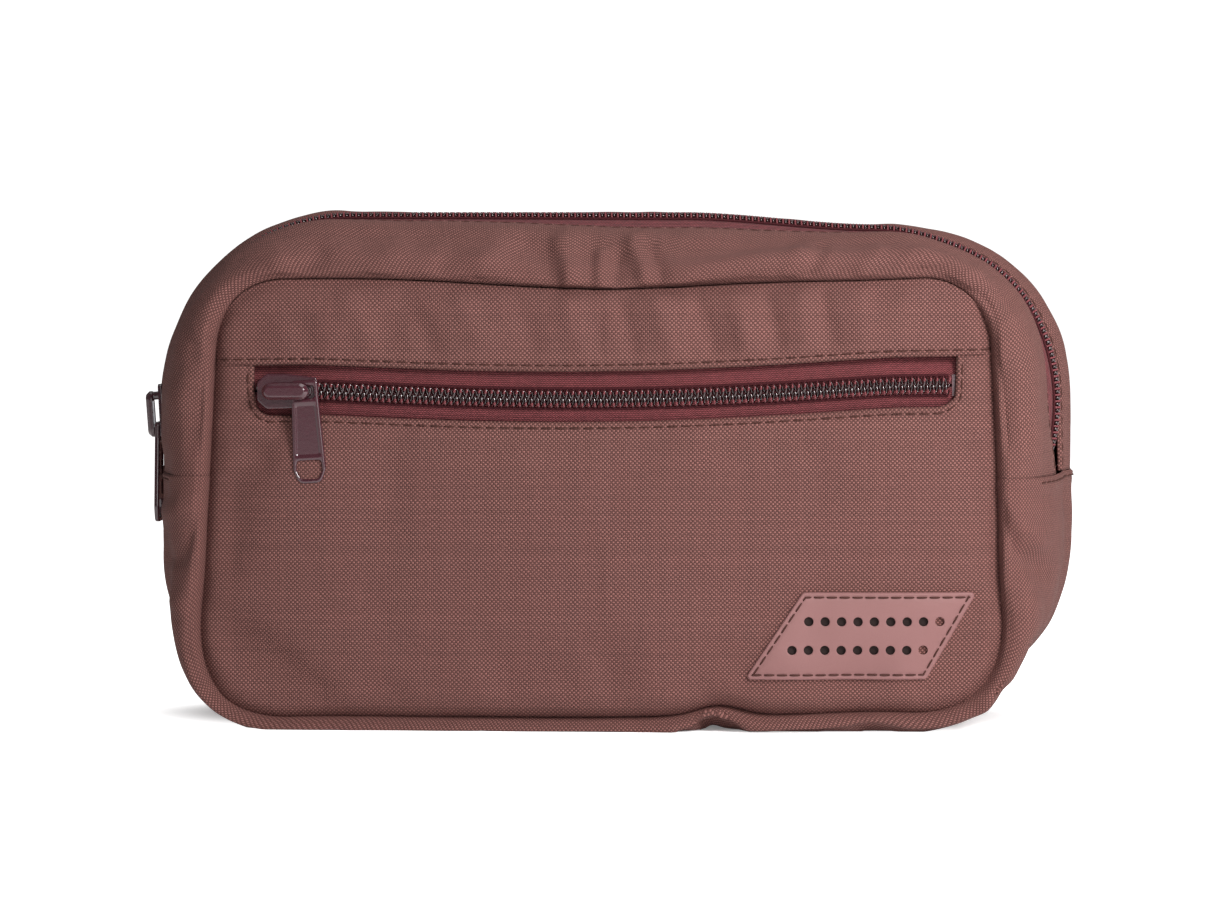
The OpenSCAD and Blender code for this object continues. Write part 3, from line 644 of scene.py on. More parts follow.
# ============================================================ front panels
LOOP = seam_loop(520)


def fold(x, z, x0, z0, x1, z1, w, h, w2=None, taper=0.35):
    """A ridge (h above 0) or a crease (below 0) along a segment; it fades out at both ends."""
    dx, dz = x1 - x0, z1 - z0
    L2 = dx * dx + dz * dz
    t = ((x - x0) * dx + (z - z0) * dz) / L2
    d = ((x - x0) * dz - (z - z0) * dx) / math.sqrt(L2)
    w = w if w2 is None else np.where(d < 0, w, w2)
    return h * gauss(d, w) * smooth01(t / taper + 0.5) * smooth01((1 - t) / taper + 0.5)


FRONT_FOLDS = [
    # upper panel: soft folds that start at the top seam
    (-78, 134, -70, 116, 4.0, 0.7), (-62, 136, -50, 114, 3.5, -0.55), (-45, 136, -36, 116, 4.2, 0.65), (-28, 135, -20, 114, 3.5, -0.5),
    (-12, 134, -5, 112, 3.8, 0.75), (4, 134, 10, 113, 3.0, -0.75), (15, 134, 22, 113, 3.6, 0.8), (27, 135, 34, 113, 2.8, -0.75),
    (38, 136, 44, 115, 3.6, 0.85), (48, 137, 53, 115, 2.6, -0.9), (58, 137, 62, 116, 3.4, 0.75), (65, 137, 69, 116, 2.6, -0.8),
    (76, 138, 78, 116, 4.4, 0.6), (92, 136, 88, 120, 5.0, 0.4), (-98, 130, -86, 116, 4.0, -0.5),
    # lower panel: broad soft waves
    (-95, 84, -60, 40, 14, 0.6), (-70, 90, -20, 60, 12, -0.35), (-30, 50, 40, 22, 14, 0.45), (30, 86, 80, 58, 14, -0.4), (60, 70, 105, 90, 11, 0.4),
    (-112, 92, -100, 80, 4.0, -0.7), (-112, 68, -92, 70, 5, 0.4), (-108, 30, -86, 24, 8, 0.4), (30, 8, 36, 28, 6, -0.8), (44, 8, 56, 26, 7, 0.4),
    (108, 92, 116, 78, 4.5, -0.5), (104, 60, 117, 50, 6, 0.3), (112, 40, 92, 52, 6, -0.3),
]


def front_wrinkle(x, z):
    w = np.zeros_like(x)
    for f in FRONT_FOLDS:
        w = w + fold(x, z, *f)
    w = w * (1 + 0.5 * smooth01((z - 100) / 10))
    return w + 0.16 * value_noise(x, z, 17, 3) + 0.10 * value_noise(x, z, 7, 4)


def front_base(x, z, d):
    """Depth of the front's surface; d is the distance from the seam, inwards."""
    base = tape_y(x) - 1.35 + 1.6 * smooth01((z - 112) / 26) + 0.5 * smooth01((26 - z) / 20) - 0.9 * smooth01((np.abs(x) - 60) / 40)
    seam = -34.9 + 0.6 * smooth01(np.abs(x) / 118) - 2.6 * smooth01((z - 122) / 12) - 1.6 * smooth01((18 - z) / 10)
    k = np.exp(-np.power(np.maximum(d, 0) / 2.3, 1.25))
    return base + (seam - base) * k


def front_sim():
    xs = np.arange(-125, 125.1, 2.6)
    zs = np.arange(0, 142.1, 2.6)
    X, Z = np.meshgrid(xs, zs)
    P2 = np.stack([X.ravel(), Z.ravel()], 1)
    d = dist_poly(P2, LOOP) * np.where(inside(P2, LOOP), 1, -1)
    y = front_base(P2[:, 0], P2[:, 1], d)
    P = np.stack([P2[:, 0], y, P2[:, 1]], 1).reshape(*X.shape, 3)
    zone = (np.abs(P2[:, 0]) < 108) & (P2[:, 1] > win_low(P2[:, 0]) - 3.0) & (P2[:, 1] < win_top(P2[:, 0]) + 3.0)
    edge = (P2[:, 1] > win_top(P2[:, 0]) - 1.5) & (P2[:, 1] < win_top(P2[:, 0]) + 2.5)
    pin = np.where((d < 2.0) | zone | edge, 1.0, 0.0).reshape(X.shape)
    return cloth_grid(P, pin, pressure=1.0, growth=0.020, frames=16, cap=2.2), xs, zs


FRONT_D, FXS, FZS = front_sim()


def front_disp(x, z):
    return sample_grid(FRONT_D, (z - FZS[0]) / (FZS[1] - FZS[0]), (x - FXS[0]) / (FXS[1] - FXS[0]))


def offset_ring(poly, d):
    """poly moved inwards by d (poly is counter-clockwise)."""
    T = unit(np.roll(poly, -1, 0) - np.roll(poly, 1, 0))
    return poly + np.stack([-T[:, 1], T[:, 0]], 1) * d


def line_pts(f, x0, x1, step):
    x = np.linspace(x0, x1, max(2, int(abs(x1 - x0) / step) + 1))
    return np.stack([x, f(x)], 1)


WL, WR = -105.5, 106.0
def window_loop():
    """The window's outline from its upper left corner, down and round the bottom, to its upper right corner."""
    zl = win_low(np.array(WL))
    left = np.array([[WL, win_top(np.array(WL))], [WL - 0.2, zip_z(np.array(WL)) + 2]])
    a = np.linspace(pi, 1.5 * pi, 7)
    r = 5.0
    corner = np.stack([WL + 0.2 + r + r * np.cos(a), zl + r + r * np.sin(a)], 1)
    low = line_pts(win_low, WL + 0.2 + r + 1, WR - 5.6, 2.0)
    right = np.array([[WR - 3.6, win_low(np.array(WR)) + 0.5], [WR - 2.0, win_low(np.array(WR)) + 1.7], [WR - 0.7, zip_z(np.array(WR)) - 3.6], [WR - 0.4, zip_z(np.array(WR))], [WR - 0.2, win_top(np.array(WR))]])
    P = np.concatenate([left, corner, low, right])
    return resample(P, 260)


WIN = window_loop()
CHAIN_LINE = line_pts(lambda x: win_top(x), -125, 125, 2.0)


def split_loop(loop, keep_low):
    """The part of the seam loop below (or above) the upper panel's edge."""
    above = loop[:, 1] > win_top(loop[:, 0]) + (1.8 if keep_low else 0.0)
    k = np.where(above != np.roll(above, 1))[0]
    ups = [i for i in k if above[i]][0]
    dns = [i for i in k if not above[i]][0]
    roll = dns if keep_low else ups
    L = np.roll(loop, -roll, 0)
    n = int((above != keep_low).sum()) if not keep_low else int((~above).sum())
    n = int(above.sum()) if not keep_low else n
    return L[:n]


def front_lower():
    outer = split_loop(LOOP, True)                     # from the left junction round the bottom to the right junction
    r = outer[-1][0]
    l = outer[0][0]
    lift = lambda x: win_top(x) + 1.8
    top_r = line_pts(lift, r - 0.5, WR + 0.3, 1.6)
    top_l = line_pts(lift, WL - 0.4, l + 0.5, 1.6)
    poly = np.concatenate([outer, top_r, WIN[::-1], top_l])
    rings = [offset_ring(LOOP, d) for d in (0.5, 1.1, 1.9, 2.9, 4.2, 5.8)]
    wl = np.concatenate([WIN + unit(np.stack([np.gradient(WIN[:, 1]), -np.gradient(WIN[:, 0])], 1)) * d for d in (0.35, 0.75, 1.25, 1.9, 2.6)])
    return poly, np.concatenate(rings + [wl])


def hexgrid(x0, x1, z0, z1, h):
    pts = []
    for k, z in enumerate(np.arange(z0, z1, h * 0.866)):
        xs = np.arange(x0 + (k % 2) * h / 2, x1, h)
        pts.append(np.stack([xs, np.full_like(xs, z)], 1))
    return np.concatenate(pts)


def pick_inner(cand, poly, margin, strict, smargin):
    """strict points are kept at margin from poly; grid points keep smargin from everything listed."""
    ok = inside(strict, poly) & (dist_poly(strict, poly) > margin)
    strict = strict[ok]
    keep = inside(cand, poly) & (dist_poly(cand, poly) > smargin)
    cand = cand[keep]
    # thin the grid out next to the strict points
    cell = {}
    for p in strict:
        cell.setdefault((int(p[0] // 1.2), int(p[1] // 1.2)), []).append(p)
    out = []
    for p in cand:
        i, j = int(p[0] // 1.2), int(p[1] // 1.2)
        near = False
        for a in (-1, 0, 1):
            for b in (-1, 0, 1):
                for q in cell.get((i + a, j + b), ()):
                    if abs(q[0] - p[0]) + abs(q[1] - p[1]) < 0.95:
                        near = True
        if not near:
            out.append(p)
    return np.concatenate([strict, np.array(out)])


STEP = 1.55


def build_front_lower():
    poly, strict = front_lower()
    inner = pick_inner(hexgrid(-124, 124, 2, 140, STEP), poly, 0.25, strict, 0.9)
    V2, F = cdt(poly, inner)
    x, z = V2[:, 0], V2[:, 1]
    d = dist_poly(V2, LOOP)
    dw = dist_poly(V2, WIN, closed=False)
    y = front_base(x, z, d)
    D = front_disp(x, z)
    k = smooth01((d - 1.0) / 4.0) * smooth01((dw - 1.0) / 3.0)
    y = y - front_wrinkle(x, z) * k
    y = y + 1.0 * np.exp(-(dw / 0.5) ** 2) + 0.38 * gauss(dw - 1.95, 0.6) - 0.18 * gauss(dw - 1.0, 0.5)
    P = np.stack([x, y, z], 1) + D * k[:, None]
    return P, F, V2


def build_front_upper():
    outer = split_loop(LOOP, False)
    l, r = outer[-1][0], outer[0][0]
    bottom = line_pts(win_top, l + 0.4, r - 0.4, 1.6)
    poly = np.concatenate([outer, bottom])
    rings = [offset_ring(LOOP, d) for d in (0.5, 1.1, 1.9, 2.9, 4.2, 5.8)]
    el = np.concatenate([line_pts(lambda x: win_top(x) + d, -120, 120, 1.5) for d in (0.35, 0.75, 1.25, 1.9, 2.6)])
    inner = pick_inner(hexgrid(-124, 124, 100, 142, STEP), poly, 0.25, np.concatenate(rings + [el]), 0.9)
    V2, F = cdt(poly, inner)
    x, z = V2[:, 0], V2[:, 1]
    d = dist_poly(V2, LOOP)
    e = z - win_top(x)
    y = front_base(x, z, d)
    k = smooth01((d - 0.6) / 3.0) * smooth01((e - 0.6) / 3.5)
    y = y - front_wrinkle(x, z) * k
    side = smooth01((d - 0.5) / 3)
    y = y - 0.95 * np.exp(-(e / 5.0) ** 2) * side + 0.95 * np.exp(-(e / 0.5) ** 2) + 0.4 * gauss(e - 1.95, 0.6) - 0.18 * gauss(e - 1.0, 0.5)
    # the seam puckers: the dips and rises between the folds reach the seam
    P = np.stack([x, y, z], 1) + front_disp(x, z) * k[:, None]
    return P, F, V2


def fabric(name, P, F, UV, mat=SHELL, t=0.9, **k):
    N = vertex_normals(P, F)
    V, faces, uv = thicken(P, F, t, UV)
    return make(name, V, faces, mat, uv=uv, **k)


PL, FL, UL = build_front_lower()
if vertex_normals(PL, FL)[:, 1].mean() > 0:
    FL = FL[:, ::-1]
fabric("front_panel_lower", PL, FL, UL, replaces=("front_lower_panel",), slot="shell_fabric")
PU, FU, UU = build_front_upper()
if vertex_normals(PU, FU)[:, 1].mean() > 0:
    FU = FU[:, ::-1]
fabric("front_panel_upper", PU, FU, UU + [3.1, 1.7], replaces=("front_upper_panel",), slot="shell_fabric")


# ============================================================ gussets
def station_grid(stations, per_span, nl, nh, part):
    """Grid of points: rows go from the first station to the last, columns round the part of the ring."""
    rows = []
    for s in stations:
        lo, hi = half_outline(s, nl, nh)
        if part == "high":
            full = np.concatenate([hi * [-1, 1], hi[::-1][1:]])
        else:
            full = np.concatenate([lo[::-1], (lo * [-1, 1])[1:]])
        rows.append(np.stack([full[:, 0], np.full(len(full), s[0]), full[:, 1]], 1))
    return catmull(np.array(rows), per_span)


def front_warp(P):
    """Near the front seam the gusset follows the seam's dips."""
    w = smooth01((-24 - P[..., 1]) / 12)
    q = seam_warp(P[..., [0, 2]])
    Q = P.copy()
    Q[..., 2] = P[..., 2] + (q[..., 1] - P[..., 2]) * w
    Q[..., 0] = P[..., 0] + (q[..., 0] - P[..., 0]) * w
    # along the top the strip turns straight back from the seam
    Q[..., 1] = P[..., 1] + 1.3 * w * smooth01((P[..., 2] - 118) / 16)
    return Q


def body_warp(P):
    """The pouch's slack: unlike corners and a hollow at the middle of the top's front edge."""
    x, y, z = P[..., 0], P[..., 1], P[..., 2]
    Q = P.copy()
    low = smooth01((34 - z) / 30)
    side = smooth01((np.abs(x) - 70) / 50) * smooth01((y + 38) / 14)
    Q[..., 0] = x - np.sign(x) * side * (2.6 * smooth01((66 - z) / 34) + (3.0 + 1.6 * (x > 0)) * smooth01((36 - z) / 30)) + low * (-0.6 * gauss(x + 120, 25))
    # the hanging puller lies in a shallow hollow of the left side
    Q[..., 0] += (x < -110) * 2.6 * gauss(z - 67, 15) * gauss(y + 4, 13)
    top = smooth01((z - 120) / 30)
    near = smooth01((ZIP_Y - 1.5 - y) / 7.0) * smooth01((y + 36) / 14)
    Q[..., 2] = z - top * near * (2.9 * gauss(x - 18, 52) + 0.6 * gauss(x + 70, 30))
    nz = smooth01((ZIP_Y - 1.5 - y) / 7.0) * smooth01((y + 36) / 14)
    Q[..., 0] -= (x > 100) * 2.7 * nz * gauss(z - 104, 24)
    # the arch is lower towards its right shoulder
    Q[..., 2] -= smooth01((z - 105) / 40) * 3.7 * smooth01((x - 22) / 60) * (1 - smooth01((x - 96) / 40)) * smooth01((y + 37) / 12)
    return Q


# ridges and creases of the strip in front of the main zip, in x, z as seen from the front
TOP_FOLDS = [
    (-26, 149, -14, 136, 3.6, -0.9, 6.5), (-15, 149, -9.5, 135, 5.5, 1.6, 2.6), (-1.5, 145, -0.8, 134, 3.2, 1.1, 2.0), (4.2, 145, 3.2, 135, 2.2, -0.7, 2.2), (7, 149, 13, 136, 5.5, 1.3, 2.2),
    (12.5, 149, 17.5, 136, 2.2, -1.1, 3.4), (17, 137, 68, 145.5, 3.2, 1.15, 3.6), (22, 145, 60, 150, 4, -0.7, 4), (60.5, 136, 66, 146, 2.0, -0.8, 2.0), (55, 137, 60, 144, 3.0, 0.5, 2.6),
    (76, 138, 84, 146, 3.0, 0.7, 3.0), (-38, 137, -32, 149, 4, 0.6, 4), (-50, 138, -45, 148, 3, -0.5, 4), (-70, 137, -61, 148, 4.4, 0.5, 4), (-90, 136, -85, 146, 3.4, -0.6, 3.4),
    (-101, 133, -97, 145, 4, 0.6, 4), (-112, 127, -104, 135, 3, -0.8, 3), (92, 137, 103, 144, 3.2, -0.6, 3.2), (100, 133, 115, 139, 3.2, 0.7, 3.2), (108, 127, 123, 131, 3.6, -0.8, 3.6),
    (114, 119, 128, 107, 4.0, 0.8, 4), (117, 107, 122, 84, 3.0, -0.9, 3), (124, 107, 130, 86, 4.0, 0.7, 4), (-118, 117, -128, 96, 4.0, 0.7, 4), (-121, 111, -124, 84, 3.0, -0.8, 3),
    (-131, 104, -134, 84, 4.0, 0.6, 4), (-114, 125, -124, 119, 3.0, 0.7, 3),
]
LOW_FOLDS = [
    (119, 68, 132, 56, 3.4, 1.4), (120, 60, 134, 47, 3.2, -1.2), (124, 46, 132, 30, 4.5, 0.9), (113, 22, 120, 12, 3.0, -1.4), (108, 14, 116, 8, 3.2, 1.0),
    (121, 74, 138, 70, 2.6, -0.8), (-121, 62, -132, 50, 3.4, -1.5), (-120, 70, -136, 64, 3.6, 1.1), (-120, 46, -130, 36, 4.0, 1.0), (-118, 30, -126, 22, 3.5, -1.1),
    (-110, 14, -118, 8, 3.2, 1.0), (30, 1, 36, 9, 4.0, -1.8), (42, 1, 52, 7, 4.5, 0.9), (22, 1, 14, 7, 5.0, 0.8), (-40, 1, -34, 8, 6, -0.6), (-80, 1, -72, 8, 7, 0.6), (78, 1, 84, 8, 6, -0.6),
]


def gusset_fold(P, N, folds, y_lim, k):
    w = np.zeros(P.shape[:-1])
    for f in folds:
        w = w + fold(P[..., 0], P[..., 2], *f)
    w = w * smooth01((y_lim - P[..., 1]) / 10) * 1.5
    w = w + 0.26 * value_noise(P[..., 0] + P[..., 1] * 0.7 + 200, P[..., 2] + P[..., 1] * 0.5 + 100, 15, 7) + 0.14 * value_noise(P[..., 0] + 300 - P[..., 1], P[..., 2] + P[..., 1] + 100, 6.5, 8)
    return P + N * (w * k)[..., None]


def grid_normals(P):
    a = np.gradient(P, axis=0)
    b = np.gradient(P, axis=1)
    return unit(np.cross(a, b))


def build_gusset(stations, part, folds, pinned_first, pinned_last, y_lim, growth=0.018, pressure=0.9, cap=1.8, fine=5, nl=150, nh=190):
    cl, ch = 52, 66
    C = station_grid(stations, 2, cl, ch, part)
    C = body_warp(front_warp(C))
    pin = np.zeros(C.shape[:2])
    pin[:pinned_first] = 1
    pin[-pinned_last:] = 1
    pin[:, :2] = 1
    pin[:, -2:] = 1
    if part == "low":
        pin[(C[..., 2] < 1.2)] = 1
    D = cloth_grid(C, pin, pressure=pressure, growth=growth, cap=cap, frames=14)
    P = station_grid(stations, fine, nl, nh, part)
    P = body_warp(front_warp(P))
    n, m = P.shape[:2]
    a, b = np.meshgrid(np.linspace(0, C.shape[0] - 1, n), np.linspace(0, C.shape[1] - 1, m), indexing="ij")
    N = grid_normals(P)
    out = N * np.sign((N[n // 2, m // 2] * (P[n // 2, m // 2] - [0, 0, 75])).sum())
    P = P + sample_grid(D, a, b)
    t = np.linspace(0, 1, n)[:, None]
    s = np.linspace(0, 1, m)[None]
    k = smooth01((t * n - pinned_first * fine / 2) / (n * 0.12)) * smooth01(((1 - t) * n - 2) / (n * 0.10)) * smooth01(s * m / 8) * smooth01((1 - s) * m / 8)
    return gusset_fold(P, out, folds, y_lim, k), out


def grid_uv(P, off=(0, 0)):
    mid = P[P.shape[0] // 2]
    u = np.concatenate([[0], np.cumsum(np.linalg.norm(np.diff(mid, axis=0), axis=1))])
    v = np.concatenate([np.zeros((1, P.shape[1])), np.cumsum(np.linalg.norm(np.diff(P, axis=0), axis=2), axis=0)])
    return np.stack([np.broadcast_to(u[None], v.shape) + off[0], v + off[1]], -1).reshape(-1, 2)


def above_floor(P):
    Q = P.copy()
    Q[..., 2] = np.maximum(Q[..., 2], 0.06)
    return Q


def lining_grid(name, P, out, node, depth=1.5):
    """The lining of a strip: a thin sheet inside it."""
    Q = (P - out * depth)[::2, ::2]
    n, m = Q.shape[:2]
    F = grid_faces(n, m)
    V = Q.reshape(-1, 3)
    if (vertex_normals(V, F).reshape(n, m, 3)[n // 2, m // 2] * out[::2, ::2][n // 2, m // 2]).sum() < 0:
        F = F[:, ::-1]
    V2, faces, uv = thicken(V, F, 0.3, grid_uv(Q))
    return make(name, V2, faces, LINING, uv=uv, replaces=(node,), slot="lining_fabric")


def fabric_grid(name, P, out, **k):
    n, m = P.shape[:2]
    F = grid_faces(n, m)
    V = P.reshape(-1, 3)
    if (vertex_normals(V, F).reshape(n, m, 3)[n // 2, m // 2] * out[n // 2, m // 2]).sum() < 0:
        F = F[:, ::-1]
    return fabric(name, V, F, grid_uv(P), **k)


def fold_edge(P, out, edge, amount=0.8, groove=True):
    """Rolls the first or last row of the grid inwards and presses the stitch line in."""
    v = np.linalg.norm(np.diff(P, axis=0), axis=2)
    if edge == "last":
        d = np.concatenate([np.cumsum(v[::-1], axis=0)[::-1], np.zeros((1, P.shape[1]))])
    else:
        d = np.concatenate([np.zeros((1, P.shape[1])), np.cumsum(v, axis=0)])
    w = -amount * np.exp(-(d / 0.5) ** 2) + 0.15 * gauss(d - 1.0, 0.5) - (0.35 if groove else 0) * gauss(d - 1.95, 0.6)
    return P + out * w[..., None]


def densify_last(P, k=(0.25, 0.5, 0.75, 1.25, 1.95, 2.6)):
    """Adds rows at the given distances from the last row, so that a folded edge has its shape."""
    v = np.linalg.norm(np.diff(P, axis=0), axis=2)
    d = np.concatenate([np.cumsum(v[::-1], axis=0)[::-1], np.zeros((1, P.shape[1]))])
    keep = d[:, P.shape[1] // 2] > k[-1] + 0.8
    rows = [P[keep]]
    for q in sorted(k, reverse=True) + [0.0]:
        row = np.empty((1, P.shape[1], 3))
        for c in range(3):
            for j in range(P.shape[1]):
                row[0, j, c] = np.interp(q, d[::-1, j], P[::-1, j, c])
        rows.append(row)
    return np.concatenate(rows)


PF, OF = build_gusset(FRONT_STATIONS, "high", TOP_FOLDS, 5, 2, -8)
PF = densify_last(PF)
OF = grid_normals(PF)
OF = OF * np.sign((OF[len(OF) // 2, OF.shape[1] // 2] * [0, 0, 1]).sum())
PF = fold_edge(PF, OF, "last")
lining_grid("lining_zip_front_sheet", PF[30:-9, 4:-4], OF[30:-9, 4:-4], "lining_zip_front")
fabric_grid("zip_gusset_front_strip", PF, OF, replaces=("zip_gusset_front",), slot="shell_fabric")
PR, OR_ = build_gusset(REAR_STATIONS[::-1], "high", [], 8, 2, 60, growth=0.014)
PR = densify_last(PR)
OR_ = grid_normals(PR)
OR_ = OR_ * np.sign((OR_[len(OR_) // 2, OR_.shape[1] // 2] * [0, 0, 1]).sum())
PR = fold_edge(PR, OR_, "last")
lining_grid("lining_zip_rear_sheet", PR[8:-8, 4:-4], OR_[8:-8, 4:-4], "lining_zip_rear")
fabric_grid("zip_gusset_rear_strip", PR, OR_, replaces=("zip_gusset_rear",), slot="shell_fabric")
PG, OG = build_gusset(ALL_STATIONS, "low", LOW_FOLDS, 5, 8, -4, growth=0.016, nl=170)
OG = grid_normals(PG)
OG = OG * np.sign((OG[len(OG) // 2, 3] * [1, 0, 0]).sum())
# its upper edges are folded and lie on the zip gusset's ends
T = densify_last(densify_last(np.transpose(PG, (1, 0, 2)))[::-1])[::-1]
OG = grid_normals(np.transpose(T, (1, 0, 2)))
OG = OG * np.sign((OG[len(OG) // 2, 3] * [1, 0, 0]).sum() * np.sign(T[3, len(OG) // 2, 0]))
O2 = np.transpose(OG, (1, 0, 2))
PGs = T
u = np.linalg.norm(np.diff(PGs, axis=0), axis=2)
du = np.concatenate([np.zeros((1, PGs.shape[1])), np.cumsum(u, axis=0)])
dn = du[-1][None] - du
de = np.minimum(du, dn)
mid_depth = smooth01((PGs[..., 1] + 36) / 5) * smooth01((39 - PGs[..., 1]) / 4)
lift = (1.0 * np.exp(-(de / 4.0) ** 2) - 0.75 * np.exp(-(de / 0.5) ** 2) - 0.35 * gauss(de - 1.95, 0.7)) * (0.25 + 0.75 * mid_depth)
PG = above_floor(np.transpose(PGs + O2 * lift[..., None], (1, 0, 2)))
lo_row = int(np.argmax(PG[:, PG.shape[1] // 2, 1] > -26))
lining_grid("lining_lower_sheet", np.maximum(PG[lo_row:-12, 8:-8], 1.0 * np.array([-1e9, -1e9, 2.4])), OG[lo_row:-12, 8:-8], "lining_lower", depth=2.2)
fabric_grid("lower_gusset_strip", PG, OG, replaces=("lower_gusset",), slot="shell_fabric")


# ============================================================ back panel
def back_loop(n=420):
    lo, hi = half_outline(grow(S7, -4.2), 200, 200)
    r = np.concatenate([lo, hi[1:]])
    loop = np.concatenate([r, (r[::-1] * [-1, 1])[1:-1]])
    return resample(np.concatenate([loop, loop[:1]]), n + 1)[:-1]


BLOOP = back_loop()


def back_base(x, z, d):
    dome = 42.9 + 2.2 * np.clip(1 - (x / 130) ** 2, 0, 1) * np.clip(1 - ((z - 75) / 70) ** 2, 0, 1)
    # sewn channels: two slanted lines and the line round the pad
    y = dome - 0.9 * gauss(d - 9.5, 1.3)
    k = smooth01((d - 11) / 4)
    for x0, z0, x1, z1 in ((-46, 26, -62, 128), (46, 26, 62, 128)):
        L = math.hypot(x1 - x0, z1 - z0)
        y = y - 0.9 * gauss(((x - x0) * (z1 - z0) - (z - z0) * (x1 - x0)) / L, 1.3) * k
    y = y + (0.18 * value_noise(x + 200, z + 40, 16, 12) + 0.08 * value_noise(x + 200, z + 40, 6, 13)) * k
    return y + (37.6 - y) * np.exp(-np.power(np.maximum(d, 0) / 2.2, 1.1))


def build_back():
    rings = [offset_ring(BLOOP, d) for d in (0.6, 1.3, 2.2, 3.4, 5.0, 7.2, 8.4, 9.5, 10.6, 11.8)]
    inner = pick_inner(hexgrid(-135, 135, 2, 150, STEP + 0.5), BLOOP, 0.3, np.concatenate(rings), 1.2)
    V2, F = cdt(BLOOP, inner)
    d = dist_poly(V2, BLOOP)
    P = np.stack([V2[:, 0], back_base(V2[:, 0], V2[:, 1], d), V2[:, 1]], 1)
    if vertex_normals(P, F)[:, 1].mean() < 0:
        F = F[:, ::-1]
    return P, F, V2


PB, FB, UB = build_back()
fabric("back_panel_padded", PB, FB, UB + [0.4, 0.9], replaces=("back_panel",), slot="shell_fabric")


# ============================================================ bindings over the seam allowances, inside
def binding(name, st, y, d, node):
    lo, hi = half_outline(grow(st, d, y), 120, 120)
    r = np.concatenate([lo, hi[1:]])
    loop = np.concatenate([r, (r[::-1] * [-1, 1])[1:-1]])
    P = np.stack([loop[:, 0], np.full(len(loop), y), loop[:, 1]], 1)
    P = body_warp(front_warp(P))
    P[:, 2] = np.maximum(P[:, 2], 4.2)
    V, F, uv = tube(P, 1.7, 10, ref=[0, 1, 0], closed=True, flat=2.0)
    return make(name, V, F, BINDING, uv=uv, replaces=(node,), slot="webbing")


binding("binding_tape_front", mix(FS, S2, 0.8), -29.0, -6.0, "binding_front")
binding("binding_tape_back", S6, 28.0, -6.0, "binding_back")


# ============================================================ zips
def main_path(radius, n):
    """Points on the main zip's path at a radius about the corner's centre, left end to right end; and the outward normals."""
    lowa = math.radians(15 + 10.4)
    arc = radius * (pi / 2 + lowa)
    total = 2 * arc + 2 * ARC_X
    s = np.linspace(0, total, n)
    X, Z, NX, NZ = (np.empty(n) for _ in range(4))
    a = pi + lowa - s / radius
    m1 = s <= arc
    m3 = s >= total - arc
    m2 = ~m1 & ~m3
    X[m1], Z[m1] = -ARC_X + radius * np.cos(a[m1]), ARC_Z + radius * np.sin(a[m1])
    NX[m1], NZ[m1] = np.cos(a[m1]), np.sin(a[m1])
    X[m2], Z[m2], NX[m2], NZ[m2] = -ARC_X + (s[m2] - arc), ARC_Z + radius, 0, 1
    b = pi / 2 - (s[m3] - (total - arc)) / radius
    X[m3], Z[m3] = ARC_X + radius * np.cos(b), ARC_Z + radius * np.sin(b)
    NX[m3], NZ[m3] = np.cos(b), np.sin(b)
    Y = np.full(n, ZIP_Y)
    return np.stack([X, Y, Z], 1), np.stack([NX, 0 * X, NZ], 1), s


def pocket_path(n, x0, x1):
    """Points on the pocket zip's centre line, and the outward normals."""
    x = np.linspace(x0, x1, n)
    P = np.stack([x, tape_y(x), zip_z(x)], 1)
    c = math.asin(1) and np.stack([-x / FR, -np.sqrt(1 - (x / FR) ** 2), 0 * x], 1)
    N = unit(-np.stack([-x / FR, np.sqrt(1 - (x / FR) ** 2), 0 * x], 1) * [1, 1, 1])
    N = unit(np.stack([x / FR, -np.sqrt(1 - (x / FR) ** 2), 0 * x], 1))
    s = np.concatenate([[0], np.cumsum(np.linalg.norm(np.diff(P, axis=0), axis=1))])
    return P, N, s


def tape_sheet(name, P, N, s, side, drops, mat, node, warp=None, step=None, low=None):
    """One half of a zip's tape. drops is a list of (distance across, height); side is -1 or 1 along the across axis."""
    T = unit(np.gradient(P, axis=0))
    A = np.cross(N, T) * side
    rows = [P + A * c + N * h for c, h in drops]
    G = np.array(rows)
    if warp is not None:
        G = warp(G)
    n, m = G.shape[:2]
    F = grid_faces(n, m)
    V = G.reshape(-1, 3)
    if (vertex_normals(V, F).reshape(n, m, 3)[n // 2, m // 2] * N[m // 2]).sum() < 0:
        F = F[:, ::-1]
    uv = np.stack([np.tile(s, n), np.repeat([c for c, _ in drops], m)], 1)
    V2, faces, uv2 = thicken(V, F, 0.5, uv)
    return make(name, V2, faces, mat, uv=uv2, replaces=(node,), slot="zip_tape")


def helix(P, N, s, side, phase, c0=1.25, amp=1.72, h0=1.1, hamp=0.85, pitch=1.88, r=0.42, per=14, sides=6, start=0.0, end=None):
    """The continuous coil of one half of the chain."""
    end = s[-1] if end is None else end
    turns = (end - start) / pitch
    k = int(turns * per)
    t = np.linspace(start, end, k)
    phi = 2 * pi * (t / pitch + phase)
    T = unit(np.gradient(P, axis=0))
    A = np.cross(N, T) * side
    at = lambda Q: np.stack([np.interp(t, s, Q[:, i]) for i in range(3)], 1)
    # flattened loops: the wire runs nearly straight across and turns quickly at both ends
    co, si = np.cos(phi), np.sin(phi)
    across = c0 + amp * np.sign(co) * np.abs(co) ** 0.75
    high = h0 + hamp * np.sign(si) * np.abs(si) ** 0.8
    C = at(P) - at(A) * across[:, None] + at(N) * high[:, None]
    bulge = r * (1 + 0.32 * np.clip(-np.cos(phi - pi) * 0 + np.cos(phi + pi), 0, 1) ** 4)
    return tube(C, bulge, sides, ref=at(T)[len(t) // 2])


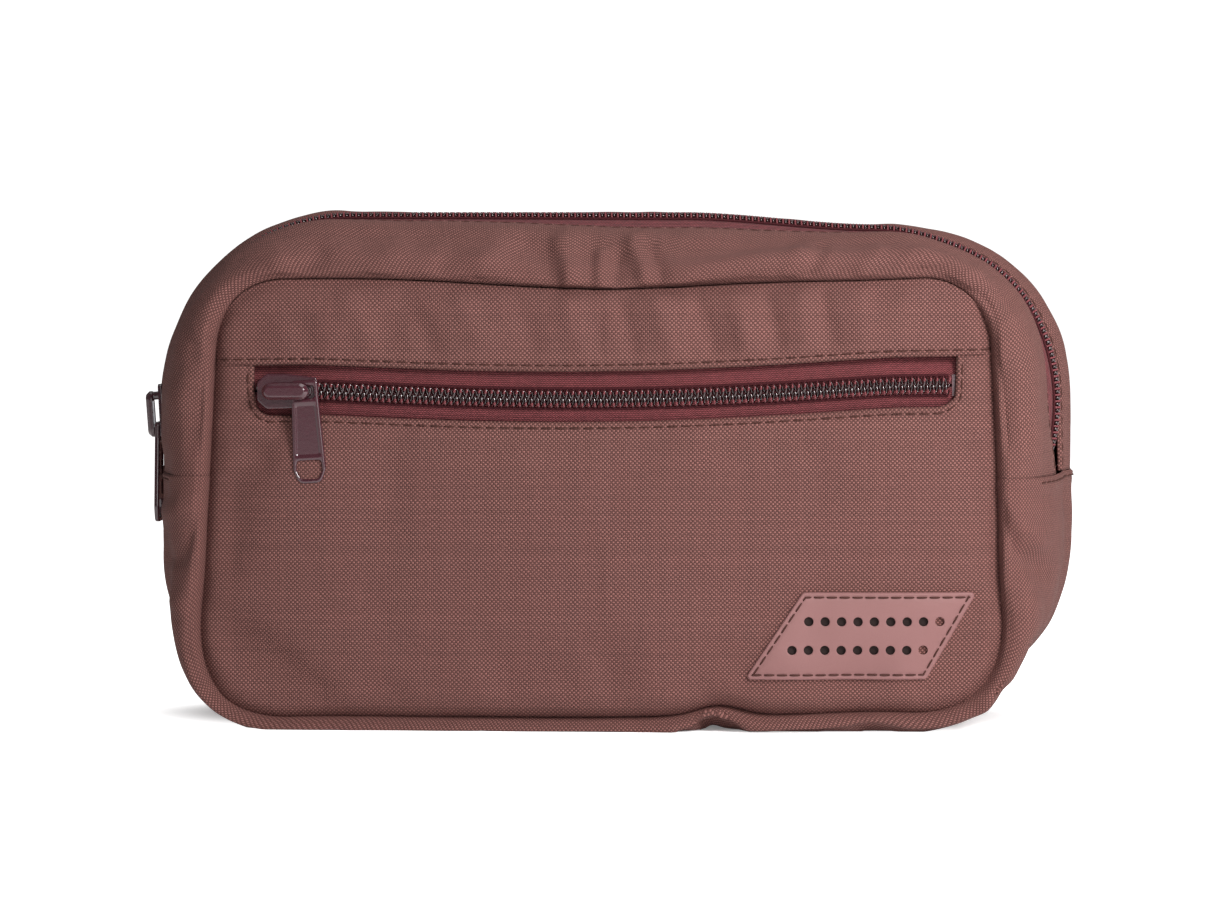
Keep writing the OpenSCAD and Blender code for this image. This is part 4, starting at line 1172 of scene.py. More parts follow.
def tube_frame(C, B, r, sides=6):
    """A tube with its own sideways vector at every point."""
    n = len(C)
    T = unit(np.gradient(C, axis=0))
    A = unit(np.cross(B, T))
    B2 = np.cross(T, A)
    a = np.arange(sides) * 2 * pi / sides
    r = np.broadcast_to(np.asarray(r, float), (n,))
    V = (C[:, None] + (A[:, None] * np.cos(a)[None, :, None] + B2[:, None] * np.sin(a)[None, :, None]) * r[:, None, None]).reshape(-1, 3)
    i, k = np.meshgrid(np.arange(n - 1), np.arange(sides), indexing="ij")
    l = (k + 1) % sides
    F = np.stack([i * sides + k, i * sides + l, (i + 1) * sides + l, (i + 1) * sides + k], -1).reshape(-1, 4)
    F = [tuple(f) for f in F.tolist()] + [tuple(range(sides))[::-1], tuple((n - 1) * sides + q for q in range(sides))]
    length = np.concatenate([[0], np.cumsum(np.linalg.norm(np.diff(C, axis=0), axis=1))])
    return V, F, np.stack([np.repeat(length, sides), np.tile(np.arange(sides) * float(r.mean()), n)], 1)


PITCH = 1.88
PER = 13


def coil(P, N, s, side, phase, start, end, c0=1.05, amp=1.42, warp=None):
    n = int((end - start) / PITCH * PER)
    t = np.linspace(start, end, n)
    phi = 2 * pi * (t / PITCH + phase)
    T = unit(np.gradient(P, axis=0))
    at = lambda Q: np.stack([np.interp(t, s, Q[:, i]) for i in range(3)], 1)
    TT = unit(at(T))
    NN = unit(at(N))
    A = np.cross(NN, TT) * side
    co, si = np.cos(phi), np.sin(phi)
    across = c0 - amp * np.sign(co) * np.abs(co) ** 0.8
    high = 1.00 + 0.66 * np.sign(si) * np.abs(si) ** 0.8
    C = at(P) + A * across[:, None] + NN * high[:, None]
    if warp is not None:
        C = warp(C)
    r = 0.37 + 0.10 * np.clip(co, 0, 1) ** 5
    return tube_frame(C, TT, r)


def seam_threads(P, N, s, side, start, end, shift, warp=None):
    """Short chain stitches that hold the coil to its tape, one a tooth, and the cord inside them."""
    B = Bag()
    T = unit(np.gradient(P, axis=0))
    k = np.arange(start, end, PITCH)
    for s0 in k:
        q = []
        for c, ds, h in ((1.15, -0.04, 1.55), (1.5, 0.0, 1.76), (1.9, 0.05, 1.74), (2.3, 0.10, 1.3), (2.5, 0.14, 0.7), (2.58, 0.16, 0.1)):
            ss = s0 + ds + shift
            p = np.array([np.interp(ss, s, P[:, i]) for i in range(3)])
            nn = unit(np.array([np.interp(ss, s, N[:, i]) for i in range(3)]))
            tt = unit(np.array([np.interp(ss, s, T[:, i]) for i in range(3)]))
            q.append(p + np.cross(nn, tt) * side * c + nn * h)
        q = catmull(np.array(q), 2)
        if warp is not None:
            q = warp(q)
        B.add(*tube(q, 0.33, 6, ref=nn))
    return B


def zip_chain(tag, P, N, s, start, end, slot_nodes, warp=None):
    for side, phase, name, node in ((-1, 0.0, slot_nodes[0], slot_nodes[2]), (1, 0.5, slot_nodes[1], slot_nodes[3])):
        V, F, uv = coil(P, N, s, side, phase, start, end, warp=warp)
        make(name, V, F, COIL, uv=uv, replaces=(node,), slot="zip_coil")
        B = seam_threads(P, N, s, side, start + 0.6, end - 0.8, PITCH * (0.25 if side < 0 else 0.75), warp)
        B.make(name + "_stitches", TAPE_THREAD, slot="zip_tape")
        # a cord beside the coil, sewn down by the chain stitches
        T = unit(np.gradient(P, axis=0))
        m = (s >= start) & (s <= end)
        A = np.cross(N, T) * side
        C = (P + A * 2.98 + N * 0.30)[m]
        if warp is not None:
            C = warp(C)
        V, F, uv = tube_frame(C, T[m] * 0 + N[m], 0.42, 8)
        make(name + "_cord", V, F, CORD, uv=uv, slot="zip_tape")


# main zip: the side of a path whose normal is outwards and which runs left to right: side +1 is the front
PM, NM, SM = main_path(TAPE_R, 300)
Tm = unit(np.gradient(PM, axis=0))
front_side = 1 if np.cross(NM, Tm)[150][1] < 0 else -1
MAIN_DROPS = [(0.45, 0.0), (1.5, 0.0), (3.0, 0.0), (4.2, -0.1), (5.4, -0.3), (6.8, -0.65), (8.4, -1.15), (10.2, -1.9), (12.0, -2.6)]
REAR_DROPS = MAIN_DROPS[:4] + [(5.4, -0.1), (6.8, -0.2), (8.4, -0.4), (10.2, -0.9), (12.0, -1.5)]


def tape_warp(P):
    """Below the arch's corners the tape's outer part turns out to lie under the strips' edges."""
    Q = P.copy()
    x, y, z = P[..., 0], P[..., 1], P[..., 2]
    gx = 135.4 + 1.7 * (ARC_Z - z) / 48.5
    k = smooth01((np.abs(y - ZIP_Y) - 3.6) / 4.0) * smooth01((ARC_Z - z) / 4)
    Q[..., 0] = x + np.sign(x) * np.maximum(gx - np.abs(x), 0) * k
    return body_warp(Q)


tape_sheet("main_zip_tape_front_half", PM, NM, SM, front_side, MAIN_DROPS, TAPE, "main_zip_tape_front", warp=tape_warp)
tape_sheet("main_zip_tape_rear_half", PM, NM, SM, -front_side, REAR_DROPS, TAPE, "main_zip_tape_rear", warp=tape_warp)
end_m = TAPE_R * math.radians(10.4)
zip_chain("main", PM, NM, SM, end_m, SM[-1] - end_m,
          (("main_coil_rear", "main_coil_front", "main_zip_coil_rear", "main_zip_coil_front") if front_side == 1 else
           ("main_coil_front", "main_coil_rear", "main_zip_coil_front", "main_zip_coil_rear")), body_warp)

PP, NP, SP = pocket_path(260, -107.8, 106.8)
Tp = unit(np.gradient(PP, axis=0))
up_side = 1 if np.cross(NP, Tp)[130][2] > 0 else -1
POCKET_DROPS = [(0.45, 0.0), (1.5, 0.0), (3.0, 0.0), (4.2, -0.1), (5.2, -0.25), (6.4, -0.6), (7.8, -1.1), (9.4, -1.3), (11.0, -1.4)]
tape_sheet("pocket_tape_upper", PP, NP, SP, up_side, POCKET_DROPS, TAPE, "front_zip_tape_upper")
tape_sheet("pocket_tape_lower", PP, NP, SP, -up_side, POCKET_DROPS, TAPE, "front_zip_tape_lower")
zip_chain("pocket", PP, NP, SP, 3.2, SP[-1] - 3.2,
          (("pocket_coil_lower", "pocket_coil_upper", "front_zip_coil_lower", "front_zip_coil_upper") if up_side == 1 else
           ("pocket_coil_upper", "pocket_coil_lower", "front_zip_coil_upper", "front_zip_coil_lower")))


# ============================================================ sliders and pullers
def soften(nodes, name, voxel, rounds, mat, body, grow_by=0.0):
    """The CAD nodes' shapes as one moulded or cast piece, with their edges rounded over."""
    bm = bmesh.new()
    for nd in nodes:
        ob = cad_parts[nd]
        tmp = bmesh.new()
        tmp.from_mesh(ob.data)
        tmp.transform(ob.matrix_world)
        me = bpy.data.meshes.new("t")
        tmp.to_mesh(me)
        tmp.free()
        bm.from_mesh(me)
        bpy.data.meshes.remove(me)
    me = bpy.data.meshes.new(name)
    bm.to_mesh(me)
    bm.free()
    ob = bpy.data.objects.new("tmp_" + name, me)
    scene.collection.objects.link(ob)
    mod = ob.modifiers.new("r", "REMESH")
    mod.mode = "VOXEL"
    mod.voxel_size = voxel * S * 1.0
    mod.adaptivity = 0
    if rounds:
        sm = ob.modifiers.new("s", "SMOOTH")
        sm.factor = 0.5
        sm.iterations = rounds
    ev = ob.evaluated_get(bpy.context.evaluated_depsgraph_get())
    out = bpy.data.meshes.new_from_object(ev)
    bpy.data.objects.remove(ob)
    bpy.data.meshes.remove(me)
    out.name = name
    out.materials.clear()
    out.materials.append(mat)
    out.polygons.foreach_set("use_smooth", np.ones(len(out.polygons), bool))
    piece = bpy.data.objects.new(name, out)
    scene.collection.objects.link(piece)
    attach(piece, body)
    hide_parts(*nodes)
    return piece


soften(["front_slider_body", "front_slider_crown"], "front_slider_cast", 0.14, 5, PAINT, "front_slider")
soften(["main_slider_body", "main_slider_crown"], "main_slider_cast", 0.14, 5, PAINT, "main_slider")


def circle_arc(c, r, a0, a1, n):
    a = np.radians(np.linspace(a0, a1, n))
    return np.stack([c[0] + r * np.cos(a), c[1] + r * np.sin(a)], 1)


def rounded(P, radii, n=5):
    """A polygon with each corner rounded by its own radius."""
    P = np.asarray(P, float)
    out = []
    for i in range(len(P)):
        a, b, c = P[i - 1], P[i], P[(i + 1) % len(P)]
        u, v = unit(a - b), unit(c - b)
        ang = math.acos(float(np.clip((u * v).sum(), -0.9999, 0.9999)))
        t = radii[i] / math.tan(ang / 2)
        m = unit(u + v) * (radii[i] / math.sin(ang / 2)) + b
        p0, p1 = b + u * t, b + v * t
        a0, a1 = math.atan2(p0[1] - m[1], p0[0] - m[0]), math.atan2(p1[1] - m[1], p1[0] - m[0])
        da = (a1 - a0 + pi) % (2 * pi) - pi
        out += [m + radii[i] * np.array([math.cos(a0 + da * k / n), math.sin(a0 + da * k / n)]) for k in range(n + 1)]
    return np.array(out)


def puller_mesh():
    """Cast puller in its own frame: x runs away from the eye bar, z is its thickness."""
    out = rounded([(-0.85, -4.15), (4.0, -4.15), (26.0, -5.05), (30.2, -3.4), (30.2, 3.4), (26.0, 5.05), (4.0, 4.15), (-0.85, 4.15)], [1.0, 3, 3.5, 2.2, 2.2, 3.5, 3, 1.0])
    out = resample(np.concatenate([out, out[:1]]), 241)[:-1]
    eye = rounded([(0.8, -2.85), (4.7, -2.85), (4.7, 2.85), (0.8, 2.85)], [0.8] * 4)
    loop = rounded([(23.3, -3.75), (26.4, -3.95), (28.9, -2.6), (28.9, 2.6), (26.4, 3.95), (23.3, 3.75)], [0.9, 1.8, 1.4, 1.4, 1.8, 0.9])
    panel = rounded([(6.4, -3.0), (21.9, -3.65), (21.9, 3.65), (6.4, 3.0)], [0.7] * 4)
    holes = [resample(np.concatenate([h, h[:1]]), 71)[:-1] for h in (eye, loop)]
    panel = resample(np.concatenate([panel, panel[:1]]), 161)[:-1]
    rings = [offset_ring(out, q) for q in (0.06, 0.16, 0.3, 0.5, 0.75)]
    hr = []
    for h in holes:
        s = 1 if (h[:, 0] * np.roll(h[:, 1], -1) - np.roll(h[:, 0], -1) * h[:, 1]).sum() > 0 else -1
        hr += [offset_ring(h, -s * q) for q in (0.06, 0.16, 0.3, 0.5)]
    pr = [offset_ring(panel, q) for q in (-0.16, 0.0, 0.16, 0.32, 0.5)]
    inner = pick_inner(hexgrid(-1, 31, -6, 6, 0.55), out, 0.03, np.concatenate(rings + hr + pr), 0.2)
    keep = np.ones(len(inner), bool)
    for h in holes:
        keep &= ~inside(inner, h) & (dist_poly(inner, h) > 0.04)
    V2, F = cdt(out, inner[keep], holes)
    d = dist_poly(V2, out)
    for h in holes:
        d = np.minimum(d, dist_poly(V2, h))
    dp = dist_poly(V2, panel) * np.where(inside(V2, panel), 1, -1)
    half = 0.30 + 0.48 * np.sqrt(np.clip(1 - (1 - np.minimum(d / 0.5, 1)) ** 2, 0, 1))
    half = half - 0.30 * smooth01((dp + 0.12) / 0.4)
    top = np.concatenate([V2, half[:, None]], 1)
    bot = np.concatenate([V2, -half[:, None]], 1)
    n = len(V2)
    E = np.concatenate([F[:, [i, (i + 1) % 3]] for i in range(3)])
    _, idx, cnt = np.unique(np.sort(E, 1), axis=0, return_index=True, return_counts=True)
    edge = E[idx[cnt == 1]]
    faces = [tuple(f) for f in F] + [tuple(f[::-1] + n) for f in F] + [(int(b), int(a), int(a) + n, int(b) + n) for a, b in edge]
    return np.concatenate([top, bot]), faces


def rot(axis, deg):
    return np.array(Matrix.Rotation(math.radians(deg), 3, axis))


LEG_X, LEG_R, PULL_Z = 18.5 / 2 - 3.6, 1.3, 4.45
VPU, FPU = puller_mesh()
# pocket zip: local axes of the slider, then its place
loc = (VPU + [-(LEG_R + 1.1), 0, 0]) @ rot("Z", 93).T + [-LEG_X, 0, PULL_Z]
w = loc @ np.array([[-1, 0, 0], [0, 0, -1], [0, -1, 0]]).T + [0, -FR, 0]
w = w @ rot("Z", math.degrees(math.asin(-95.0 / FR))).T + [0, FARC + FR, FZ]
w = (w - [0, 0, FZ]) @ rot("Y", -FTILT).T + [0, 0, FZ]
make("front_puller_cast", w, [f[::-1] for f in FPU], PAINT, body="front_puller", slot="painted_metal", replaces=("front_puller",))
loc = VPU @ rot("Y", -4.5).T + [LEG_X - LEG_R - 1.1, 0, PULL_Z]
w = loc @ np.array([[0, 0, -1], [0, 1, 0], [-1, 0, 0]]).T + [-TAPE_R, 0, 0]
w = w @ rot("Y", -4).T + [-ARC_X, ZIP_Y, ARC_Z]
make("main_puller_cast", w, [f[::-1] for f in FPU], PAINT, body="main_puller", slot="painted_metal", replaces=("main_puller",))
for nm in ("front_puller_cast", "main_puller_cast"):
    lo = [min(v.co[k] for v in bpy.data.objects[nm].data.vertices) * 1000 for k in range(3)]
    hi = [max(v.co[k] for v in bpy.data.objects[nm].data.vertices) * 1000 for k in range(3)]
    print("PLACE", nm, [round(q, 1) for q in lo], [round(q, 1) for q in hi])


# ============================================================ badge
def lower_surface(x, z):
    """The lower panel's outer surface, the same as its mesh away from its edges."""
    V2 = np.stack([x, z], 1)
    d = dist_poly(V2, LOOP)
    y = front_base(x, z, d)
    k = smooth01((d - 1.0) / 4.0)
    return y - front_wrinkle(x, z) * k + front_disp(x, z)[:, 1] * k


def rounded_poly(P, r, n=6):
    P = np.asarray(P, float)
    out = []
    for i in range(len(P)):
        a, b, c = P[i - 1], P[i], P[(i + 1) % len(P)]
        u, v = unit(a - b), unit(c - b)
        ang = math.acos(float(np.clip((u * v).sum(), -1, 1)))
        t = r / math.tan(ang / 2)
        m = unit(u + v) * (r / math.sin(ang / 2)) + b
        p0, p1 = b + u * t, b + v * t
        a0 = math.atan2(*(p0 - m)[::-1])
        a1 = math.atan2(*(p1 - m)[::-1])
        da = (a1 - a0 + pi) % (2 * pi) - pi
        out += [m + r * np.array([math.cos(a0 + da * k / n), math.sin(a0 + da * k / n)]) for k in range(n + 1)]
    return np.array(out)


BADGE_OUT = rounded_poly([(42.6, 16.6), (97.2, 16.6), (112.3, 43.0), (60.2, 43.0)], 1.1)
BADGE_OUT = resample(np.concatenate([BADGE_OUT, BADGE_OUT[:1]]), 221)[:-1]
HOLES = []
for row, (hz, hx0, cnt) in enumerate(((34.2, 62.0, 9), (25.6, 57.0, 9))):
    for i in range(cnt):
        HOLES.append((hx0 + i * 4.9, hz))


def circle2(c, r, n=20):
    a = np.arange(n) * 2 * pi / n
    return np.stack([c[0] + r * np.cos(a), c[1] + r * np.sin(a)], 1)


def build_badge(t=1.25):
    holes = [circle2(h, 1.42) for h in HOLES]
    rings = [offset_ring(BADGE_OUT, d) for d in (0.12, 0.28, 0.5, 0.85, 1.3, 1.75, 2.2)]
    hr = [circle2(h, 1.42 + d, 20) for h in HOLES for d in (0.12, 0.35)]
    strict = np.concatenate(rings + hr)
    inner = pick_inner(hexgrid(40, 114, 15, 45, 1.1), BADGE_OUT, 0.05, strict, 0.5)
    keep = np.ones(len(inner), bool)
    for h in HOLES:
        keep &= np.linalg.norm(inner - h, axis=1) > 1.50
    V2, F = cdt(BADGE_OUT, inner[keep], holes)
    d = dist_poly(V2, BADGE_OUT)
    dh = np.min([np.abs(np.linalg.norm(V2 - h, axis=1) - 1.42) for h in HOLES], axis=0)
    round_over = lambda q, r: np.sqrt(np.clip(1 - (1 - np.minimum(q / r, 1)) ** 2, 0, 1))
    h = t * (0.45 + 0.55 * round_over(d, 0.5)) - 0.22 * gauss(d - 1.5, 0.4) - 0.10 * (1 - round_over(dh, 0.3))
    base = lower_surface(V2[:, 0], V2[:, 1])
    top = np.stack([V2[:, 0], base - h, V2[:, 1]], 1)
    bottom = np.stack([V2[:, 0], base + 0.05, V2[:, 1]], 1)
    if vertex_normals(top, F)[:, 1].mean() > 0:
        F = F[:, ::-1]
    n = len(V2)
    k = 3
    E = np.concatenate([F[:, [i, (i + 1) % k]] for i in range(k)])
    key = np.sort(E, 1)
    _, idx, cnt = np.unique(key, axis=0, return_index=True, return_counts=True)
    edge = E[idx[cnt == 1]]
    faces = [tuple(f) for f in F] + [tuple(f[::-1] + n) for f in F] + [(int(b), int(a), int(a) + n, int(b) + n) for a, b in edge]
    return np.concatenate([top, bottom]), faces, np.concatenate([V2, V2])


VB, FBG, UBG = build_badge()
make("badge_plate", VB, FBG, BADGE, uv=UBG, replaces=("badge",), slot="badge", angle=50)
# a thin dark sheet under the badge, inside its border: painted shade, so that the badge's holes look dark
inner_out = offset_ring(BADGE_OUT, 3.0)
V2, F = cdt(inner_out, pick_inner(hexgrid(44, 112, 17, 43, 2.0), inner_out, 0.5, np.zeros((0, 2)) + 0.0 if False else np.array([[76.0, 30.0]]), 1.0))
P = np.stack([V2[:, 0], lower_surface(V2[:, 0], V2[:, 1]) - 0.12, V2[:, 1]], 1)
if vertex_normals(P, F)[:, 1].mean() > 0:
    F = F[:, ::-1]
Vn, Fn, Un = thicken(P, F, 0.1, V2)
make("badge_backing", Vn, Fn, BADGE_HOLE_SHADE, uv=Un, slot="badge")


# ============================================================ stitching
def surface_tree(V, F):
    return BVHTree.FromPolygons([tuple(v) for v in V], [tuple(int(i) for i in f) for f in F])


def stitches(name, path, dirs, tree=None, pitch=4.2, length=3.1, r=0.27, mat=None, body="pack", lift=0.26, closed=False, make_it=True, gap=0.0):
    """Separate stitches along a path. dirs are the outward directions; tree is the fabric they lie on."""
    path = np.asarray(path, float)
    if closed:
        path = np.concatenate([path, path[:1]])
        dirs = np.concatenate([dirs, dirs[:1]])
    s = np.concatenate([[0], np.cumsum(np.linalg.norm(np.diff(path, axis=0), axis=1))])
    n = max(1, int(round((s[-1] - gap) / pitch)))
    step = (s[-1] - gap) / n
    B = Bag()
    for i in range(n):
        s0 = gap / 2 + i * step + (step - length) / 2
        t = s0 + np.linspace(0, 1, 7) * length
        p = np.stack([np.interp(t, s, path[:, k]) for k in range(3)], 1)
        d = unit(np.stack([np.interp(t, s, dirs[:, k]) for k in range(3)], 1))
        if tree is not None:
            for k in range(7):
                hit = tree.ray_cast(Vector(p[k] + d[k] * 8), Vector(-d[k]), 20)
                if hit[0] is not None:
                    p[k] = hit[0]
        prof = np.array([-0.28, 0.55, 0.9, 1.0, 0.9, 0.55, -0.28])
        p = p + d * (prof * lift)[:, None]
        B.add(*tube(p, r * np.array([0.85, 1, 1, 1, 1, 1, 0.85]), 6, ref=d[3]))
    return B.make(name, mat or THREAD, body=body, slot="shell_fabric")


TREE_L = surface_tree(PL, FL)
TREE_U = surface_tree(PU, FU)
front_dir = lambda p: np.tile([0, -1.0, 0], (len(p), 1))
lift3 = lambda q: np.stack([q[:, 0], tape_y(q[:, 0]), q[:, 1]], 1)
q = line_pts(lambda x: win_top(x) + 1.9, -116.5, 116.8, 1.0)
stitches("upper_panel_topstitch", lift3(q), front_dir(q), TREE_U)
w = WIN + unit(np.stack([np.gradient(WIN[:, 1]), -np.gradient(WIN[:, 0])], 1)) * 1.9
w = w[(w[:, 1] < win_top(w[:, 0]) - 1.2)]
stitches("window_topstitch", lift3(w), front_dir(w), TREE_L)
stitches("badge_stitch", lift3(offset_ring(BADGE_OUT, 1.5)), front_dir(BADGE_OUT), surface_tree(VB, FBG), pitch=3.85, length=3.0, closed=True)
stitches("front_gusset_topstitch", PF[-6], OF[-6], gap=2)
stitches("rear_gusset_topstitch", PR[-6], OR_[-6], gap=2)
for nm, sgn in (("right", 1), ("left", -1)):
    TT = np.transpose(PG, (1, 0, 2))[::sgn]
    OO = np.transpose(OG, (1, 0, 2))[::sgn]
    dd = np.concatenate([np.zeros((1, TT.shape[1])), np.cumsum(np.linalg.norm(np.diff(TT, axis=0), axis=2), axis=0)])
    row = np.array([[np.interp(1.95, dd[:, j], TT[:, j, k]) for k in range(3)] for j in range(TT.shape[1])])
    ori = np.array([[np.interp(1.95, dd[:, j], OO[:, j, k]) for k in range(3)] for j in range(TT.shape[1])])
    m = (row[:, 1] > -33) & (row[:, 1] < 37)
    stitches("side_seam_topstitch_" + nm, row[m], unit(ori[m]), gap=1)
TREE_B = surface_tree(PB, FB)
bq = offset_ring(BLOOP, 9.5)
stitches("back_panel_quilting", np.stack([bq[:, 0], 0 * bq[:, 0] + 42, bq[:, 1]], 1), np.tile([0, 1.0, 0], (len(bq), 1)), TREE_B, closed=True)
for nm, x0, x1 in (("left", -46, -62), ("right", 46, 62)):
    tt = np.linspace(0.0, 1, 60)
    z0, z1 = 20.0, 134.0
    px = np.interp(z0 + (z1 - z0) * tt, [26, 128], [x0, x1])
    px = x0 + (x1 - x0) * ((z0 + (z1 - z0) * tt) - 26) / 102
    pth = np.stack([px, 0 * px + 42, z0 + (z1 - z0) * tt], 1)
    stitches("back_channel_" + nm, pth, np.tile([0, 1.0, 0], (60, 1)), TREE_B)


# ============================================================ belt
BELT_Z, BELT_Y, HINGE_X, HINGE_Y, WEB_W, WEB_T = 80.0, 45.1, 129.0, 43.8, 25.0, 1.6
MID_Y = BELT_Y + WEB_T / 2
BAR_X, TURN_R = 38.0, 1.8
BAR_Y = BELT_Y + WEB_T + TURN_R
ROOT_X = HINGE_X - 12
PITCH_F, F_IN, F_OUT, TAILS = WEB_T + 0.5, -48.0, -114.0, 6


def arc2(c, r, a0, a1, n=14):
    a = np.radians(np.linspace(a0, a1, n))
    return np.stack([c[0] + r * np.cos(a), c[1] + r * np.sin(a)], 1)


def left_path():
    fy = lambda k: MID_Y + 2 * (TURN_R + WEB_T / 2) + k * PITCH_F
    P = [np.array([[-ROOT_X, MID_Y], [-100, MID_Y], [-80, MID_Y], [-60, MID_Y], [-BAR_X - 2, MID_Y]]), arc2((-BAR_X, BAR_Y), TURN_R + WEB_T / 2, -90, 90)]
    for k in range(TAILS):
        c = (F_OUT if k % 2 == 0 else F_IN, fy(k) + PITCH_F / 2)
        P.append(arc2(c, PITCH_F / 2, -90, -270 if k % 2 == 0 else 90, 9))
    P.append(np.array([[F_OUT if TAILS % 2 == 0 else F_IN, fy(TAILS)]]))
    return np.concatenate(P)


def right_path():
    y2 = BAR_Y + TURN_R + WEB_T / 2
    return np.concatenate([np.array([[ROOT_X, MID_Y], [100, MID_Y], [70, MID_Y], [BAR_X + 2, MID_Y]]), arc2((BAR_X, BAR_Y), TURN_R + WEB_T / 2, -90, -270),
                           np.array([[62, y2], [84, y2]])])


def webbing(name, path, body, node):
    """Woven strap: a flat section with rounded, slightly thicker selvedges, swept along a path seen from above."""
    s = np.concatenate([[0], np.cumsum(np.linalg.norm(np.diff(path, axis=0), axis=1))])
    fine = [path[0]]
    for i in range(1, len(path)):
        L = s[i] - s[i - 1]
        k = max(1, int(L / 4.0))
        for j in range(1, k + 1):
            fine.append(path[i - 1] + (path[i] - path[i - 1]) * j / k)
    C = np.array(fine)
    T = unit(np.gradient(C, axis=0))
    A = np.stack([-T[:, 1], T[:, 0]], 1)
    w, t = WEB_W / 2 - 0.1, WEB_T / 2
    prof = []
    for u in (-0.94, -0.86, -0.8, -0.5, 0, 0.5, 0.8, 0.86, 0.94):
        prof.append((u * w, t * (1.0 if abs(u) > 0.84 else 0.9)))
    prof += [(w * 0.985, t * 0.72), (w, 0.0), (w * 0.985, -t * 0.72)]
    for u in (0.94, 0.86, 0.8, 0.5, 0, -0.5, -0.8, -0.86, -0.94):
        prof.append((u * w, -t * (1.0 if abs(u) > 0.84 else 0.9)))
    prof += [(-w * 0.985, -t * 0.72), (-w, 0.0), (-w * 0.985, t * 0.72)]
    prof = np.array(prof)
    n, m = len(C), len(prof)
    V = np.empty((n, m, 3))
    V[:, :, 0] = C[:, None, 0] + A[:, None, 0] * prof[None, :, 1]
    V[:, :, 1] = C[:, None, 1] + A[:, None, 1] * prof[None, :, 1]
    V[:, :, 2] = BELT_Z + prof[None, :, 0]
    V = V.reshape(-1, 3)
    F = [tuple(f) for f in grid_faces(n, m, wrap=True).tolist()]
    F += [tuple(range(m)), tuple((n - 1) * m + q for q in range(m))[::-1]]
    ln = np.concatenate([[0], np.cumsum(np.linalg.norm(np.diff(C, axis=0), axis=1))])
    uv = np.stack([np.repeat(ln, m), np.tile(prof[:, 0], n)], 1)
    # outward faces
    c0 = V.reshape(n, m, 3)[n // 2]
    q = np.array(F[(n // 2) * m + 4])
    nrm = np.cross(V[q[1]] - V[q[0]], V[q[2]] - V[q[0]])
    if (nrm * (V[q].mean(0) - c0.mean(0))).sum() < 0:
        F = [f[::-1] for f in F]
    return make(name, V, F, WEBBING, body=body, uv=uv, slot="webbing", replaces=(node,), angle=60)


webbing("webbing_left", left_path(), "belt_left", "belt_strap_left")
webbing("webbing_right", right_path(), "belt_right", "belt_strap_right")


def wing(side):
    """Padded wing; its root is sewn into the back seam and bends at the belt's hinge."""
    out = np.array([(134.6, -25.5), (129, -24.2), (119, -23.6), (106, -19.2), (93.4, -14.2), (92.4, 0), (93.4, 14.2), (106, 19.2), (119, 23.6), (129, 24.2), (134.6, 25.5)])
    out = resample(np.concatenate([out, out[:1]]), 181)[:-1]
    if side < 0:
        out = (out * [-1, 1])[::-1]
    area2 = 0.5 * (out[:, 0] * np.roll(out[:, 1], -1) - np.roll(out[:, 0], -1) * out[:, 1]).sum()
    if area2 < 0:
        out = out[::-1]
    rings = [offset_ring(out, d) for d in (0.3, 0.8, 1.5, 2.2, 3.0, 4.0)]
    inner = pick_inner(hexgrid(-140, 140, -28, 28, 1.7), out, 0.15, np.concatenate(rings), 0.8)
    V2, F = cdt(out, inner)
    ax = np.abs(V2[:, 0])
    d = dist_poly(V2, out)
    # the middle surface: level over the back panel, then down into the seam
    y = 43.9 - 3.6 * smooth01((ax - 129.6) / 5.0)
    half = (0.35 + 0.95 * np.sqrt(np.clip(1 - (1 - np.minimum(d / 3.2, 1)) ** 2, 0, 1))) * (1 - 0.35 * smooth01((ax - 124) / 8))
    half = half - 0.32 * gauss(d - 2.6, 0.5)
    rib = 0.10 * value_noise(V2[:, 0] + 300, V2[:, 1] + 100, 8, 21)
    a = np.stack([V2[:, 0], y + half + 0.05 + rib, V2[:, 1] + BELT_Z], 1)
    b = np.stack([V2[:, 0], y - half, V2[:, 1] + BELT_Z], 1)
    if vertex_normals(a, F)[:, 1].mean() < 0:
        F = F[:, ::-1]
    n = len(V2)
    E = np.concatenate([F[:, [i, (i + 1) % 3]] for i in range(3)])
    _, idx, cnt = np.unique(np.sort(E, 1), axis=0, return_index=True, return_counts=True)
    edge = E[idx[cnt == 1]]
    faces = [tuple(f) for f in F] + [tuple(f[::-1] + n) for f in F] + [(int(q), int(p), int(p) + n, int(q) + n) for p, q in edge]
    nm = "left" if side < 0 else "right"
    ob = make("wing_" + nm, np.concatenate([a, b]), faces, SHELL, body=None, uv=np.concatenate([V2, V2]), slot="shell_fabric", replaces=("belt_wing_" + nm,))
    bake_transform(ob)
    tree = surface_tree(a, F)
    ring = offset_ring(out, 2.6)
    ring = ring[np.abs(ring[:, 0]) < 124.5]
    k = np.argmax(np.linalg.norm(np.roll(ring, -1, 0) - ring, axis=1))
    ring = np.roll(ring, -(k + 1), 0)
    pth = np.stack([ring[:, 0], 0 * ring[:, 0] + 45, ring[:, 1] + BELT_Z], 1)
    stitches("wing_stitch_" + nm, pth, np.tile([0, 1.0, 0], (len(pth), 1)), tree, body="belt_" + nm)


wing(-1)
wing(1)
